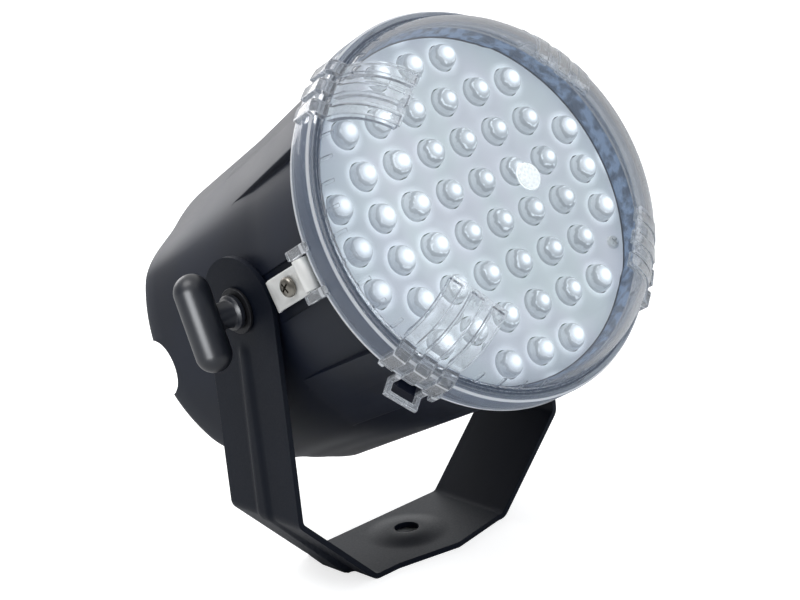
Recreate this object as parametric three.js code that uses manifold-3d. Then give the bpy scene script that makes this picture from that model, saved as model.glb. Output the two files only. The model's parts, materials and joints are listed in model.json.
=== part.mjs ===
// A hand-sized strobe light: a tilting lamp head with 48 LEDs under a clear domed cover, in a bent steel
// yoke with a T-knob at each side. Millimetres, +Z up, the lamp faces -Y, the yoke's base rests on z = 0.
import * as THREE from 'three';
import { mergeVertices } from 'three/addons/utils/BufferGeometryUtils.js';
import Module from 'manifold-3d';

const wasm = await Module();
wasm.setup();

// Driving dimensions shared by several pieces
const gap = 0.3; // clearance between pieces that touch
const overrun = 1; // how far a cutter runs past what it cuts
const tiltAngle = 29; // degrees the head looks up at rest
const pivotHeight = 107.7; // pivot axis above the underside of the yoke
const headAxisDrop = 2.6; // the lamp's own axis runs this far below the pivot axis
const facets = {
  body: 32,
  cover: 32,
  pin: 12,
  small: 6,
  lamp: 8,
  wire: 6,
  curve: 8,
  bend: 2,
  arc: 4,
  face: 2,
  fillet: 3,
  cap: 4,
};

// Lamps: a square of them and a short row outside each side. They set the size of the head.
const lamp = { columns: 6, sideRow: 3, pitch: 15, radius: 5, holeClearance: 0.35, domeSteps: 2 };
const fieldRadius = lamp.pitch * Math.hypot((lamp.columns + 1) / 2, (lamp.sideRow - 1) / 2)
  + lamp.radius + lamp.holeClearance;
const board = { edge: 0.2, thickness: 1.6, setback: 7.2 };
board.radius = fieldRadius + board.edge;

// Moulded housing, measured from the pivot plane along the lamp's axis
const housing = {
  boardGap: 0.75,
  ledge: 2.3,
  rimWall: 3.7,
  rimStep: 3.3,
  taper: 7.1,
  rearFillet: 3,
  wall: 2.6,
  rearZ: -60,
  shoulderZ: 48,
  rimRise: 3,
  rimLength: 14,
  seatDepth: 8.2,
  seatLength: 5.4,
};
housing.seatRadius = board.radius + housing.boardGap;
housing.boreRadius = housing.seatRadius + housing.ledge;
housing.rimRadius = housing.boreRadius + housing.rimWall;
housing.shoulderRadius = housing.rimRadius - housing.rimStep;
housing.rearRadius = housing.shoulderRadius - housing.taper;
housing.rimBackZ = housing.shoulderZ + housing.rimRise;
housing.rimFrontZ = housing.rimBackZ + housing.rimLength;
housing.seatZ = housing.rimFrontZ - housing.seatDepth;
housing.seatBackZ = housing.seatZ - housing.seatLength;
board.frontZ = housing.seatZ - board.setback;

const plate = { thickness: 1, rimGap: 0.7, lampHole: lamp.radius + lamp.holeClearance };
plate.radius = housing.boreRadius - plate.rimGap;
const boardBoss = { angle: 28.9, inset: 2.45, radius: 3.8, length: 12, hole: 1.15, spacerRadius: 2.8 };
boardBoss.circle = board.radius - boardBoss.inset;
const smallScrew = { radius: 1.1, hole: 1.5, headRadius: 2.7, headHeight: 1.5, length: 8 };

// Swollen side pods that carry the pivots and end in a notched edge
const pod = { drop: 2.1, rearReach: 3, halfAngle: 33, notchRadius: 10.4, notchDepth: 4.1, armOverlap: 2.5 };
pod.radius = housing.shoulderRadius - pod.drop;
pod.rearZ = housing.rearZ - pod.rearReach;
pod.notchFloor = pod.radius - pod.notchDepth;

// Pivot hardware: spot face, insert, stud and washers
const pivot = {
  spotRadius: 11,
  spotDepth: 1.2,
  bossRadius: 8.2,
  bossLength: 12.8,
  insertRadius: 5,
  insertLength: 9.2,
  insertDepth: 1.8,
  studHole: 3.4,
  studRadius: 3,
  studReach: 10.3,
  washerSpace: 1.5,
  washerRadius: 10,
  washerHole: 4.2,
  capWasherRadius: 8,
  capWasherThickness: 1.2,
};
pivot.spotFace = pod.radius - pivot.spotDepth;
pivot.bossInner = pivot.spotFace - pivot.bossLength;
pivot.insertStop = pivot.spotFace - pivot.insertDepth;
pivot.studEnd = pivot.spotFace - pivot.studReach;

// Bent steel yoke, whose arms stand just outside the washers
const yoke = {
  thickness: 2,
  depth: 37,
  baseLength: 65,
  bendHeight: 31.5,
  bendCut: 3.5,
  pivotHole: 4.2,
  mountHole: 4.6,
  dishRadius: 13,
  dishTop: 8,
  dishHeight: 1.6,
  frontSwell: 5,
  swellX: 4,
  ribHeight: 1.6,
  ribTopWidth: 4.5,
  ribFootWidth: 9,
  ribStart: 12,
};
yoke.width = 2 * (pivot.spotFace + pivot.washerSpace + yoke.thickness);
pod.frontZ = yoke.depth / 2 - pod.armOverlap;

// T-knobs outside the arms
const knob = {
  neckRadius: 4.7,
  barRadius: 6.35,
  barHalfLength: 10.9,
  barReach: 15.5,
  lean: 20.6,
  boreRadius: 3.3,
  boreDepth: 8.3,
  collarRadius: 6.2,
  collarLength: 2.4,
};
knob.barCentre = yoke.width / 2 + knob.barReach;

// Clear domed cover, whose skirt slides over the housing's rim
const cover = {
  wall: 2.2,
  skirtStep: 1.1,
  skirtLength: 9.5,
  skirtSetback: 1,
  baseRise: 0.6,
  draft: 2.5,
  shoulderRadius: 22,
  faceRise: 22,
  crown: 3,
  gateRadius: 4.4,
  gateHeight: 0.5,
};
cover.skirtRadius = housing.rimRadius + gap + cover.wall;
cover.domeRadius = cover.skirtRadius - cover.skirtStep;
cover.skirtFrontZ = housing.rimFrontZ - cover.skirtSetback;
cover.skirtBackZ = cover.skirtFrontZ - cover.skirtLength;
cover.domeBaseZ = housing.rimFrontZ + cover.baseRise;
cover.faceZ = housing.rimFrontZ + cover.faceRise;

// Groups of parallel ribs, which run from blocks over the cover's skirt to its face
const rib = {
  angles: [38, 129, 219, 320],
  count: 3,
  pitch: 8.7,
  width: 5,
  height: 1.1,
  skirtInset: 2,
  blockReach: 2.5,
  faceReach: 3.2,
};
rib.backZ = cover.skirtBackZ + rib.skirtInset;
rib.blockZ = housing.rimFrontZ + rib.blockReach;
rib.innerRadius = cover.domeRadius - cover.draft - cover.shoulderRadius + rib.faceReach;

// Wedge pads on the housing behind them
const wedge = { startAngle: 40, repeats: 4, halfAngle: 12, length: 63, step: 0.7, sink: 2 };
wedge.tipZ = housing.shoulderZ - wedge.length;
wedge.frontRadius = housing.rimRadius - wedge.step;

// Ears with a bar between them, and the latch loop
const ear = {
  inner: 6,
  width: 3.4,
  backReach: 9,
  frontReach: 2.5,
  sink: 0.3,
  height: 1,
  barRadius: 1.2,
  barStep: 3.5,
};
ear.backZ = cover.skirtBackZ - ear.backReach;
ear.frontZ = cover.skirtBackZ + ear.frontReach;
ear.innerRadius = housing.rimRadius - ear.sink;
ear.outerRadius = cover.skirtRadius + ear.height;
const latch = {
  angle: 222,
  width: 14,
  frame: 2.6,
  reach: 13,
  inset: 1.2,
  thickness: 2.6,
  nubWidth: 7,
  nubHeight: 2.6,
  nubSetback: 3.5,
  nubLength: 5.4,
};
latch.backZ = cover.skirtBackZ - latch.reach;
latch.innerRadius = cover.skirtRadius - latch.inset;
latch.nubBackZ = latch.backZ + latch.nubSetback;
latch.nubFrontZ = latch.nubBackZ + latch.nubLength;

// Metal clips that hold the cover's bars, their tails just in front of the yoke's arms
const clip = {
  width: 11,
  thickness: 1.2,
  seatInset: 2.9,
  armClearance: 1.5,
  tailLength: 4.5,
  foldDrop: 2,
  curlGap: 0.4,
  screwRadius: 1.5,
  headRadius: 3,
  headHeight: 1.6,
  screwLength: 8,
};
clip.seatX = housing.rimRadius - clip.seatInset;
clip.backZ = yoke.depth / 2 + clip.armClearance;
clip.foldZ = clip.backZ + clip.tailLength;
clip.barZ = ear.backZ + ear.barStep;
clip.barX = cover.domeRadius;
clip.screwZ = (clip.backZ + clip.barZ) / 2;
const pocket = {
  halfWidth: 8.6,
  floorDrop: 3.2,
  backReach: 4.6,
  frontInset: 2.5,
  padHalfWidth: 5,
  padSetback: 0.5,
};
pocket.floorX = clip.seatX - pocket.floorDrop;
pocket.backZ = clip.backZ - pocket.backReach;
pocket.frontZ = clip.barZ - pocket.frontInset;
pocket.padBackZ = clip.foldZ + pocket.padSetback;

// Recessed rear panel with its vents, speed control and power inlet
const panel = {
  edge: 6.5,
  recess: 2.6,
  lip: 4.5,
  flange: 2.5,
  screwInset: 2.1,
  screwAngle: 45,
  screwCount: 4,
  ventCount: 5,
  ventPitch: 7,
  ventWidth: 3,
  ventLength: 36,
  ventY: -24,
  postRadius: 3.4,
};
panel.radius = housing.rearRadius - panel.edge;
panel.openingRadius = panel.radius - panel.lip;
panel.screwCircle = panel.radius - panel.screwInset;
const speed = {
  y: 17,
  bushRadius: 4.4,
  nutRadius: 6.4,
  nutThickness: 2,
  shaftRadius: 3,
  canRadius: 8.2,
  canLength: 8,
  knobRadius: 9,
  knobTop: 8,
  knobLength: 11,
  knobWall: 3,
  flutes: 8,
  fluteRadius: 1.6,
  pointerWidth: 1.2,
  pointerHeight: 0.8,
};
const inlet = {
  x: 20,
  y: 17,
  threadRadius: 4,
  socketRadius: 2.75,
  socketDepth: 9,
  pinRadius: 1,
  bodyRadius: 5.2,
  bodyLength: 10,
  lip: 1.4,
  lipRadius: 5.6,
  nutRadius: 6.2,
  nutThickness: 2,
};

// Flash control board on posts behind the lamps
const control = {
  height: 46,
  y: 2,
  thickness: 1.6,
  standoff: 22,
  postInset: 5,
  inletClearance: 1.8,
  postRadius: 3,
  capRadius: 5,
  capHeight: 16,
  capSpacing: 13,
  sinkWidth: 22,
  sinkBase: 2,
  sinkHeight: 14,
  sinkFin: 1.4,
  sinkFins: 5,
  chipWidth: 8,
  chipLength: 18,
  chipHeight: 3.4,
  terminalWidth: 16,
  terminalDepth: 8,
  terminalHeight: 9,
  terminalWay: 5,
};
control.backZ = housing.rearZ + control.standoff;
control.postX = inlet.x + inlet.nutRadius + control.inletClearance + control.postRadius;
control.width = 2 * (control.postX + control.postInset);
control.postY = control.height / 2 - control.postInset;
const harness = { width: 9, thickness: 1.3, x: -12, sweep: 9, steps: 10, plugHeight: 5, plugDepth: 6 };
const lead = { radius: 1.1, spacing: 5, sag: 8, steps: 14 };

const yokeInner = yoke.width / 2 - yoke.thickness;
const degree = Math.PI / 180;

// Materials
const blackMoulding = () => new THREE.MeshStandardMaterial({ color: 0x17181b, roughness: 0.42 });
const blackPaint = () => new THREE.MeshStandardMaterial({ color: 0x1c1d22, roughness: 0.5, metalness: 0.2 });
const knobPlastic = () => new THREE.MeshStandardMaterial({ color: 0x16171a, roughness: 0.5 });
const rubber = () => new THREE.MeshStandardMaterial({ color: 0x101010, roughness: 0.9 });
const clearPlastic = () => new THREE.MeshStandardMaterial({
  color: 0xe8eef2, roughness: 0.08, transparent: true, opacity: 0.35,
});
const brightSteel = () => new THREE.MeshStandardMaterial({ color: 0xd6d6d4, roughness: 0.3, metalness: 1 });
const brass = () => new THREE.MeshStandardMaterial({ color: 0xc8a050, roughness: 0.35, metalness: 1 });
const satinSheet = () => new THREE.MeshStandardMaterial({ color: 0xb9bab4, roughness: 0.5, metalness: 0.7 });
const lampClear = () => new THREE.MeshStandardMaterial({ color: 0xf4f7ff, roughness: 0.1 });
const boardGreen = () => new THREE.MeshStandardMaterial({ color: 0x1e4a2c, roughness: 0.6 });
const capSleeve = () => new THREE.MeshStandardMaterial({ color: 0x1b2340, roughness: 0.5 });
const castAlloy = () => new THREE.MeshStandardMaterial({ color: 0x9a9c9e, roughness: 0.5, metalness: 0.9 });
const greyInsulation = () => new THREE.MeshStandardMaterial({ color: 0x8a8d90, roughness: 0.7 });
const redInsulation = () => new THREE.MeshStandardMaterial({ color: 0xa02018, roughness: 0.6 });
const blackInsulation = () => new THREE.MeshStandardMaterial({ color: 0x18181a, roughness: 0.6 });
const terminalGreen = () => new THREE.MeshStandardMaterial({ color: 0x2f7a3c, roughness: 0.5 });

// A closed geometry becomes a solid, its faces turned outwards
function solid(geometry) {
  const bare = geometry.clone();
  bare.deleteAttribute('normal');
  bare.deleteAttribute('uv');
  const merged = mergeVertices(bare, gap / 1000);
  const points = merged.attributes.position.array;
  const faces = [];
  let volume = 0;
  const corner = (i) => new THREE.Vector3().fromArray(points, i * 3);
  for (let i = 0; i < merged.index.count; i += 3) {
    const [a, b, c] = [0, 1, 2].map((k) => merged.index.getX(i + k));
    if (a === b || b === c || c === a) continue;
    faces.push([a, b, c]);
    volume += corner(a).dot(corner(b).cross(corner(c)));
  }
  const turned = volume < 0 ? faces.map(([a, b, c]) => [a, c, b]) : faces;
  return new wasm.Manifold(new wasm.Mesh({
    numProp: 3,
    vertProperties: new Float32Array(points),
    triVerts: new Uint32Array(turned.flat()),
  }));
}

function join(...solids) {
  return solids.reduce((whole, next) => whole.add(next));
}

function cut(whole, ...cutters) {
  return cutters.reduce((left, cutter) => left.subtract(cutter), whole);
}

function facesOf(body) {
  const mesh = body.getMesh();
  const geometry = new THREE.BufferGeometry();
  const points = new Float32Array(mesh.numVert * 3);
  for (let i = 0; i < mesh.numVert; i += 1) {
    for (let k = 0; k < 3; k += 1) points[i * 3 + k] = mesh.vertProperties[i * mesh.numProp + k];
  }
  geometry.setAttribute('position', new THREE.BufferAttribute(points, 3));
  geometry.setIndex(new THREE.BufferAttribute(new Uint32Array(mesh.triVerts), 1));
  geometry.computeVertexNormals();
  return geometry;
}

function addPiece(parent, name, body, material) {
  const mesh = new THREE.Mesh(facesOf(body), material);
  mesh.name = name;
  parent.add(mesh);
  return mesh;
}

// Forms along the lamp's axis, Z: a turned profile of [radius, z] points, a disc, a bar, an extruded outline
function turned(profile, sides) {
  const points = profile.map(([radius, z]) => new THREE.Vector2(radius, z));
  return solid(new THREE.LatheGeometry(points, sides).rotateX(Math.PI / 2));
}

function disc(radius, fromZ, toZ, sides = facets.small, x = 0, y = 0) {
  const form = new THREE.CylinderGeometry(radius, radius, toZ - fromZ, sides).rotateX(Math.PI / 2);
  return solid(form.translate(x, y, (fromZ + toZ) / 2));
}

function ring(outer, inner, fromZ, toZ, sides = facets.pin) {
  return turned([[inner, fromZ], [outer, fromZ], [outer, toZ], [inner, toZ], [inner, fromZ]], sides);
}

function bar(from, to) {
  const size = to.map((value, k) => value - from[k]);
  const middle = to.map((value, k) => (value + from[k]) / 2);
  return solid(new THREE.BoxGeometry(...size).translate(...middle));
}

function prism(shape, fromZ, toZ, curveSegments = facets.curve) {
  const form = new THREE.ExtrudeGeometry(shape, { depth: toZ - fromZ, bevelEnabled: false, curveSegments });
  return solid(form.translate(0, 0, fromZ));
}

function outline(points) {
  return new THREE.Shape(points.map(([x, y]) => new THREE.Vector2(x, y)));
}

// The same form turned by degrees about Z, or laid so that its Z runs along +X or -X
function about(body, degrees) {
  return body.rotate([0, 0, degrees]);
}

function outwards(body, side) {
  return body.rotate([0, side * 90, 0]);
}

function moved(body, x, y, z) {
  return body.translate([x, y, z]);
}

// Yoke: one strap bent into two arms, two chamfers and a base
function strapCorners(inset) {
  const half = yoke.width / 2 - inset;
  const lean = Math.atan2(yoke.width / 2 - yoke.baseLength / 2, yoke.bendHeight);
  const shift = inset * Math.tan(lean / 2);
  const baseLean = Math.PI / 2 - lean;
  const baseHalf = yoke.baseLength / 2 - inset * Math.tan(baseLean / 2);
  return { half, bendZ: yoke.bendHeight + shift, baseHalf, baseZ: inset };
}

function strapPath(inset, topZ) {
  const c = strapCorners(inset);
  return [[-c.half, topZ], [-c.half, c.bendZ], [-c.baseHalf, c.baseZ], [c.baseHalf, c.baseZ],
    [c.half, c.bendZ], [c.half, topZ]];
}

function roundedPath(shape, points, cutLength, first) {
  points.forEach(([x, y], i) => {
    if (i === 0 || i === points.length - 1) {
      if (i === 0 && first) shape.moveTo(x, y);
      else shape.lineTo(x, y);
      return;
    }
    const here = new THREE.Vector2(x, y);
    const back = new THREE.Vector2(...points[i - 1]).sub(here).setLength(cutLength).add(here);
    const ahead = new THREE.Vector2(...points[i + 1]).sub(here).setLength(cutLength).add(here);
    shape.lineTo(back.x, back.y);
    shape.quadraticCurveTo(x, y, ahead.x, ahead.y);
  });
}

function bentStrap(outerInset, innerInset, topZ, depth) {
  const shape = new THREE.Shape();
  roundedPath(shape, strapPath(outerInset, topZ), yoke.bendCut, true);
  roundedPath(shape, strapPath(innerInset, topZ).reverse(), yoke.bendCut, false);
  return prism(shape, -depth / 2, depth / 2, facets.bend).rotate([90, 0, 0]);
}

function makeYoke() {
  const topZ = pivotHeight + yoke.depth / 2;
  const strap = bentStrap(0, yoke.thickness, topZ, yoke.depth);
  const half = yoke.depth / 2;
  const side = new THREE.Shape();
  side.moveTo(-half, -overrun);
  side.lineTo(half, -overrun);
  side.lineTo(half, pivotHeight);
  side.absarc(0, pivotHeight, half, 0, Math.PI, false);
  const sideView = prism(side, -yoke.width, yoke.width, facets.pin).rotate([90, 0, 90]);

  const ribBand = bentStrap(-yoke.ribHeight, yoke.thickness / 2, pivotHeight - yoke.ribStart, yoke.depth);
  const taper = outline([
    [-yoke.ribFootWidth / 2, 0],
    [yoke.ribFootWidth / 2, 0],
    [yoke.ribTopWidth / 2, pivotHeight],
    [-yoke.ribTopWidth / 2, pivotHeight],
  ]);
  const ribSides = prism(taper, -yoke.width, yoke.width).rotate([90, 0, 90]);
  const baseKeepOut = bar([-yoke.baseLength / 2, -yoke.depth, -yoke.ribHeight * 2],
    [yoke.baseLength / 2, yoke.depth, yoke.thickness / 2]);
  const ribs = cut(ribBand.intersect(ribSides), baseKeepOut);

  const slope = (yoke.dishRadius - yoke.dishTop) / yoke.dishHeight;
  const dish = (lift) => turned([
    [0, lift - overrun],
    [yoke.dishRadius + slope * overrun, lift - overrun],
    [yoke.dishTop, lift + yoke.dishHeight],
    [0, lift + yoke.dishHeight],
  ], facets.pin);
  const hole = disc(yoke.mountHole, -overrun, yoke.thickness + yoke.dishHeight + overrun, facets.pin);
  const pivotHoles = outwards(disc(yoke.pivotHole, -yoke.width, yoke.width, facets.pin), 1);

  const baseHalf = yoke.baseLength / 2 - yoke.bendCut;
  const swell = prism(outline([
    [-baseHalf, -half + overrun],
    [-baseHalf, -half],
    [yoke.swellX, -half - yoke.frontSwell],
    [baseHalf, -half],
    [baseHalf, -half + overrun],
  ]), 0, yoke.thickness);

  const formed = join(strap.intersect(sideView), swell, dish(yoke.thickness), ribs);
  return cut(formed, dish(0), hole, moved(pivotHoles, 0, 0, pivotHeight));
}

// Housing: radius of the tapered wall at a place along the axis
function wallRadius(z) {
  const run = (z - housing.rearZ) / (housing.shoulderZ - housing.rearZ);
  return housing.rearRadius + (housing.shoulderRadius - housing.rearRadius) * run;
}

function sector(radius, inner, halfAngle, fromZ, toZ) {
  const shape = new THREE.Shape();
  shape.absarc(0, 0, radius, -halfAngle * degree, halfAngle * degree, false);
  shape.absarc(0, 0, inner, halfAngle * degree, -halfAngle * degree, true);
  return prism(shape, fromZ, toZ);
}

function filletPoints(radius, z, size) {
  return Array.from({ length: facets.fillet + 1 }, (_, i) => {
    const turn = (i / facets.fillet) * (Math.PI / 2);
    return [radius - size + size * Math.sin(turn), z + size - size * Math.cos(turn)];
  });
}

function housingOutside() {
  const { rearZ, rearRadius, rearFillet, shoulderZ, shoulderRadius } = housing;
  const { rimBackZ, rimFrontZ, rimRadius } = housing;
  return turned([
    [0, rearZ],
    ...filletPoints(rearRadius, rearZ, rearFillet),
    [shoulderRadius, shoulderZ],
    [rimRadius, rimBackZ],
    [rimRadius, rimFrontZ],
    [0, rimFrontZ],
  ], facets.body);
}

function housingInside() {
  const { rearZ, wall, seatBackZ, seatZ, seatRadius, boreRadius, rimFrontZ } = housing;
  const rebateZ = rearZ + panel.recess;
  const flangeZ = rebateZ + panel.flange;
  return turned([
    [0, rearZ - overrun],
    [panel.radius + gap, rearZ - overrun],
    [panel.radius + gap, rebateZ],
    [panel.openingRadius, rebateZ],
    [panel.openingRadius, flangeZ],
    [wallRadius(flangeZ) - wall, flangeZ],
    [seatRadius, seatBackZ],
    [seatRadius, seatZ],
    [boreRadius, seatZ],
    [boreRadius, rimFrontZ + overrun],
    [0, rimFrontZ + overrun],
  ], facets.body);
}

function wedgePad() {
  const { halfAngle, tipZ, frontRadius, sink } = wedge;
  const tipRadius = wallRadius(tipZ);
  const half = frontRadius * Math.sin(halfAngle * degree);
  const side = outline([
    [tipRadius - sink, tipZ],
    [tipRadius, tipZ],
    [frontRadius, housing.shoulderZ],
    [housing.rimRadius, housing.rimBackZ],
    [housing.rimRadius, housing.rimBackZ + sink],
    [tipRadius - sink, housing.rimBackZ + sink],
  ]);
  const slab = prism(side, -half, half).rotate([90, 0, 0]);
  const arch = turned([[0, tipZ], [tipRadius, tipZ], [frontRadius, housing.shoulderZ],
    [housing.rimRadius, housing.rimBackZ], [housing.rimRadius, housing.rimBackZ + sink],
    [0, housing.rimBackZ + sink]], facets.body);
  return slab.intersect(arch);
}

function makeHousing() {
  const pivotY = headAxisDrop;
  const pods = [0, 180].map((turn) => about(
    sector(pod.radius, panel.radius + housing.wall, pod.halfAngle, pod.rearZ, pod.frontZ), turn));
  const wedges = Array.from({ length: wedge.repeats }, (_, i) => about(
    wedgePad(), wedge.startAngle + (360 / wedge.repeats) * i));
  const sides = [1, -1];

  const notches = sides.map((side) => moved(outwards(
    disc(pod.notchRadius, pod.notchFloor, pod.radius + overrun, facets.pin), side), 0, 0, pod.rearZ));

  const bosses = sides.map((side) => moved(outwards(
    disc(pivot.bossRadius, pivot.bossInner, pivot.spotFace, facets.pin), side), 0, pivotY, 0));
  const lampBosses = lampBossPlaces().map(([x, y]) => disc(boardBoss.radius,
    board.frontZ - board.thickness - gap - boardBoss.length, board.frontZ - board.thickness - gap,
    facets.small, x, y));
  const panelPosts = panelScrewPlaces().map(([x, y]) => disc(panel.postRadius, housing.rearZ + panel.recess,
    housing.rearZ + panel.recess + smallScrew.length, facets.small, x, y));
  const clipPads = sides.map((side) => bar(
    side > 0 ? [pocket.floorX - housing.wall, -pocket.padHalfWidth, pocket.padBackZ]
      : [-clip.seatX, -pocket.padHalfWidth, pocket.padBackZ],
    side > 0 ? [clip.seatX, pocket.padHalfWidth, pocket.frontZ]
      : [-pocket.floorX + housing.wall, pocket.padHalfWidth, pocket.frontZ]));
  const pockets = sides.map((side) => {
    const near = Math.min(side * pocket.floorX, side * (housing.rimRadius + overrun));
    const far = Math.max(side * pocket.floorX, side * (housing.rimRadius + overrun));
    return bar([near, -pocket.halfWidth, pocket.backZ], [far, pocket.halfWidth, pocket.frontZ]);
  });
  const curlFrontZ = clip.barZ + ear.barRadius + clip.curlGap + clip.thickness + gap * 2;
  const curlRooms = sides.map((side) => {
    const near = Math.min(side * clip.seatX, side * (housing.rimRadius + overrun));
    const far = Math.max(side * clip.seatX, side * (housing.rimRadius + overrun));
    return bar([near, -pocket.halfWidth, pocket.frontZ - overrun], [far, pocket.halfWidth, curlFrontZ]);
  });

  const spots = sides.map((side) => moved(outwards(
    disc(pivot.spotRadius, pivot.spotFace, pod.radius + overrun, facets.pin), side), 0, pivotY, 0));
  const studBore = disc(pivot.studHole, -pod.radius, pod.radius, facets.pin);
  const studHoles = moved(outwards(studBore, 1), 0, pivotY, 0);
  const insertBores = sides.map((side) => moved(outwards(
    disc(pivot.insertRadius + gap, 0, pivot.insertStop, facets.pin), side), 0, pivotY, 0));
  const clipHoles = sides.map((side) => moved(outwards(
    disc(clip.screwRadius + gap, pocket.floorX - housing.wall - overrun, clip.seatX + overrun), side),
  0, 0, clip.screwZ));
  const bossHoles = lampBossPlaces().map(([x, y]) => disc(boardBoss.hole + gap,
    board.frontZ - board.thickness - boardBoss.length + gap, board.frontZ, facets.small, x, y));
  const panelHoles = panelScrewPlaces().map(([x, y]) => disc(smallScrew.radius + gap, housing.rearZ,
    housing.rearZ + panel.recess + smallScrew.length - gap, facets.small, x, y));

  const shell = cut(join(housingOutside(), ...pods, ...wedges), housingInside());
  const inward = join(...bosses, ...panelPosts, ...lampBosses).intersect(join(housingOutside(), ...pods));
  const relieved = cut(join(shell, inward), ...pockets, ...curlRooms, ...spots, ...notches);
  const dressed = join(relieved, ...clipPads, latchNub());
  return cut(dressed, studHoles, ...insertBores, ...clipHoles, ...bossHoles, ...panelHoles);
}

// The nub that the cover's latch loop snaps over
function latchNub() {
  const base = wallRadius(latch.nubBackZ) - housing.wall / 2;
  const top = latch.innerRadius + latch.nubHeight - gap;
  const side = outline([
    [base, latch.nubBackZ],
    [housing.rimRadius, latch.nubBackZ],
    [top, latch.nubFrontZ],
    [base, latch.nubFrontZ],
  ]);
  return about(prism(side, -latch.nubWidth / 2, latch.nubWidth / 2).rotate([90, 0, 0]), latch.angle);
}

function lampBossPlaces() {
  const turn = boardBoss.angle * degree;
  const [x, y] = [boardBoss.circle * Math.cos(turn), boardBoss.circle * Math.sin(turn)];
  return [[x, -y], [-x, -y], [-x, y], [x, y]];
}

function panelScrewPlaces() {
  return Array.from({ length: panel.screwCount }, (_, i) => {
    const turn = (panel.screwAngle + (360 / panel.screwCount) * i) * degree;
    return [panel.screwCircle * Math.cos(turn), panel.screwCircle * Math.sin(turn)];
  });
}

// Clear cover: skirt, drafted side, round shoulder and slightly crowned face
function coverProfile(inset) {
  const { skirtRadius, skirtBackZ, skirtFrontZ, domeRadius, domeBaseZ, draft, faceZ, crown } = cover;
  const bend = cover.shoulderRadius;
  const centreRadius = domeRadius - draft - bend;
  const centreZ = faceZ - bend;
  const arc = Array.from({ length: facets.arc + 1 }, (_, i) => {
    const turn = (i / facets.arc) * (Math.PI / 2);
    return [centreRadius + (bend - inset) * Math.cos(turn), centreZ + (bend - inset) * Math.sin(turn)];
  });
  const rise = Array.from({ length: facets.face }, (_, i) => {
    const share = 1 - (i + 1) / facets.face;
    return [centreRadius * share, faceZ - inset + crown * (1 - share * share)];
  });
  const ledgeZ = housing.rimFrontZ + gap;
  const foot = inset > 0 ? skirtBackZ - overrun : skirtBackZ;
  const skirt = inset > 0
    ? [[skirtRadius - inset, foot], [skirtRadius - inset, ledgeZ], [domeRadius - inset, ledgeZ]]
    : [[skirtRadius, skirtBackZ], [skirtRadius, skirtFrontZ], [domeRadius, domeBaseZ]];
  return [[0, foot], ...skirt, ...arc, ...rise];
}

function coverRibs(inside) {
  const blockRadius = cover.skirtRadius + rib.height;
  const proud = join(turned(coverProfile(-rib.height), facets.cover),
    disc(blockRadius, rib.backZ, rib.blockZ, facets.cover));
  const blade = bar([rib.innerRadius, -rib.width / 2, rib.backZ],
    [blockRadius, rib.width / 2, cover.faceZ + cover.crown]);
  const middle = (rib.count - 1) / 2;
  const group = Array.from({ length: rib.count }, (_, i) => moved(blade, 0, (i - middle) * rib.pitch, 0));
  const blades = rib.angles.map((angle) => about(join(...group), angle));
  return cut(join(...blades).intersect(proud), inside);
}

function coverEars() {
  const pieces = [];
  [0, 180].forEach((turn) => {
    [1, -1].forEach((side) => {
      const from = Math.min(side * ear.inner, side * (ear.inner + ear.width));
      const to = Math.max(side * ear.inner, side * (ear.inner + ear.width));
      pieces.push(about(bar([ear.innerRadius, from, ear.backZ], [ear.outerRadius, to, ear.frontZ]), turn));
    });
    const pin = disc(ear.barRadius, -ear.inner - overrun, ear.inner + overrun).rotate([90, 0, 0]);
    pieces.push(about(moved(pin, clip.barX, 0, clip.barZ), turn));
  });
  return pieces;
}

function latchLoop() {
  const { width, frame, backZ, innerRadius, thickness, nubFrontZ } = latch;
  const outerRadius = innerRadius + thickness;
  const outer = bar([innerRadius, -width / 2, backZ], [outerRadius, width / 2, cover.skirtFrontZ]);
  const window = bar([innerRadius - overrun, -width / 2 + frame, backZ + frame],
    [outerRadius + overrun, width / 2 - frame, nubFrontZ + frame]);
  return about(cut(outer, window), latch.angle);
}

function makeCover() {
  const inside = turned(coverProfile(cover.wall), facets.cover);
  const gate = disc(cover.gateRadius, cover.faceZ, cover.faceZ + cover.crown + cover.gateHeight, facets.pin);
  const dome = join(turned(coverProfile(0), facets.cover), gate);
  const skirtRoom = disc(housing.rimRadius + gap, housing.rimBackZ - overrun, housing.rimFrontZ + gap,
    facets.cover);
  return join(cut(join(dome, ...coverEars(), latchLoop()), inside, skirtRoom), coverRibs(inside));
}

// Metal clip: a flat strip with its tail folded in and its front end curled round the cover's bar
function clipStrip() {
  const t = clip.thickness;
  const low = clip.seatX + gap;
  const inner = ear.barRadius + clip.curlGap;
  const outer = inner + t;
  const shape = new THREE.Shape();
  const curlStart = clip.barZ - outer;
  shape.moveTo(low - clip.foldDrop, clip.backZ);
  shape.lineTo(low, clip.foldZ);
  shape.lineTo(low, curlStart);
  shape.absarc(clip.barX, clip.barZ, outer, Math.PI, Math.PI / 2, true);
  shape.absarc(clip.barX, clip.barZ, outer, Math.PI / 2, -Math.PI / 2, true);
  shape.lineTo(clip.barX, clip.barZ - inner);
  shape.absarc(clip.barX, clip.barZ, inner, -Math.PI / 2, Math.PI, false);
  shape.lineTo(low + t, curlStart);
  shape.lineTo(low + t, clip.foldZ);
  shape.lineTo(low + t - clip.foldDrop, clip.backZ);
  return shape;
}

function makeClip() {
  const strip = prism(clipStrip(), -clip.width / 2, clip.width / 2).rotate([90, 0, 0]);
  const hole = moved(outwards(disc(clip.screwRadius + gap, clip.seatX - overrun,
    clip.seatX + clip.thickness * 2), 1), 0, 0, clip.screwZ);
  return cut(strip, hole);
}

// A pan-head screw along Z, its head's underside at z = 0 and its shank running down
function screw(shank, head, height, length) {
  return turned([[0, -length], [shank, -length], [shank, 0], [head, 0], [head, height / 2],
    [head * Math.SQRT1_2, height], [0, height]], facets.small);
}

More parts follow.
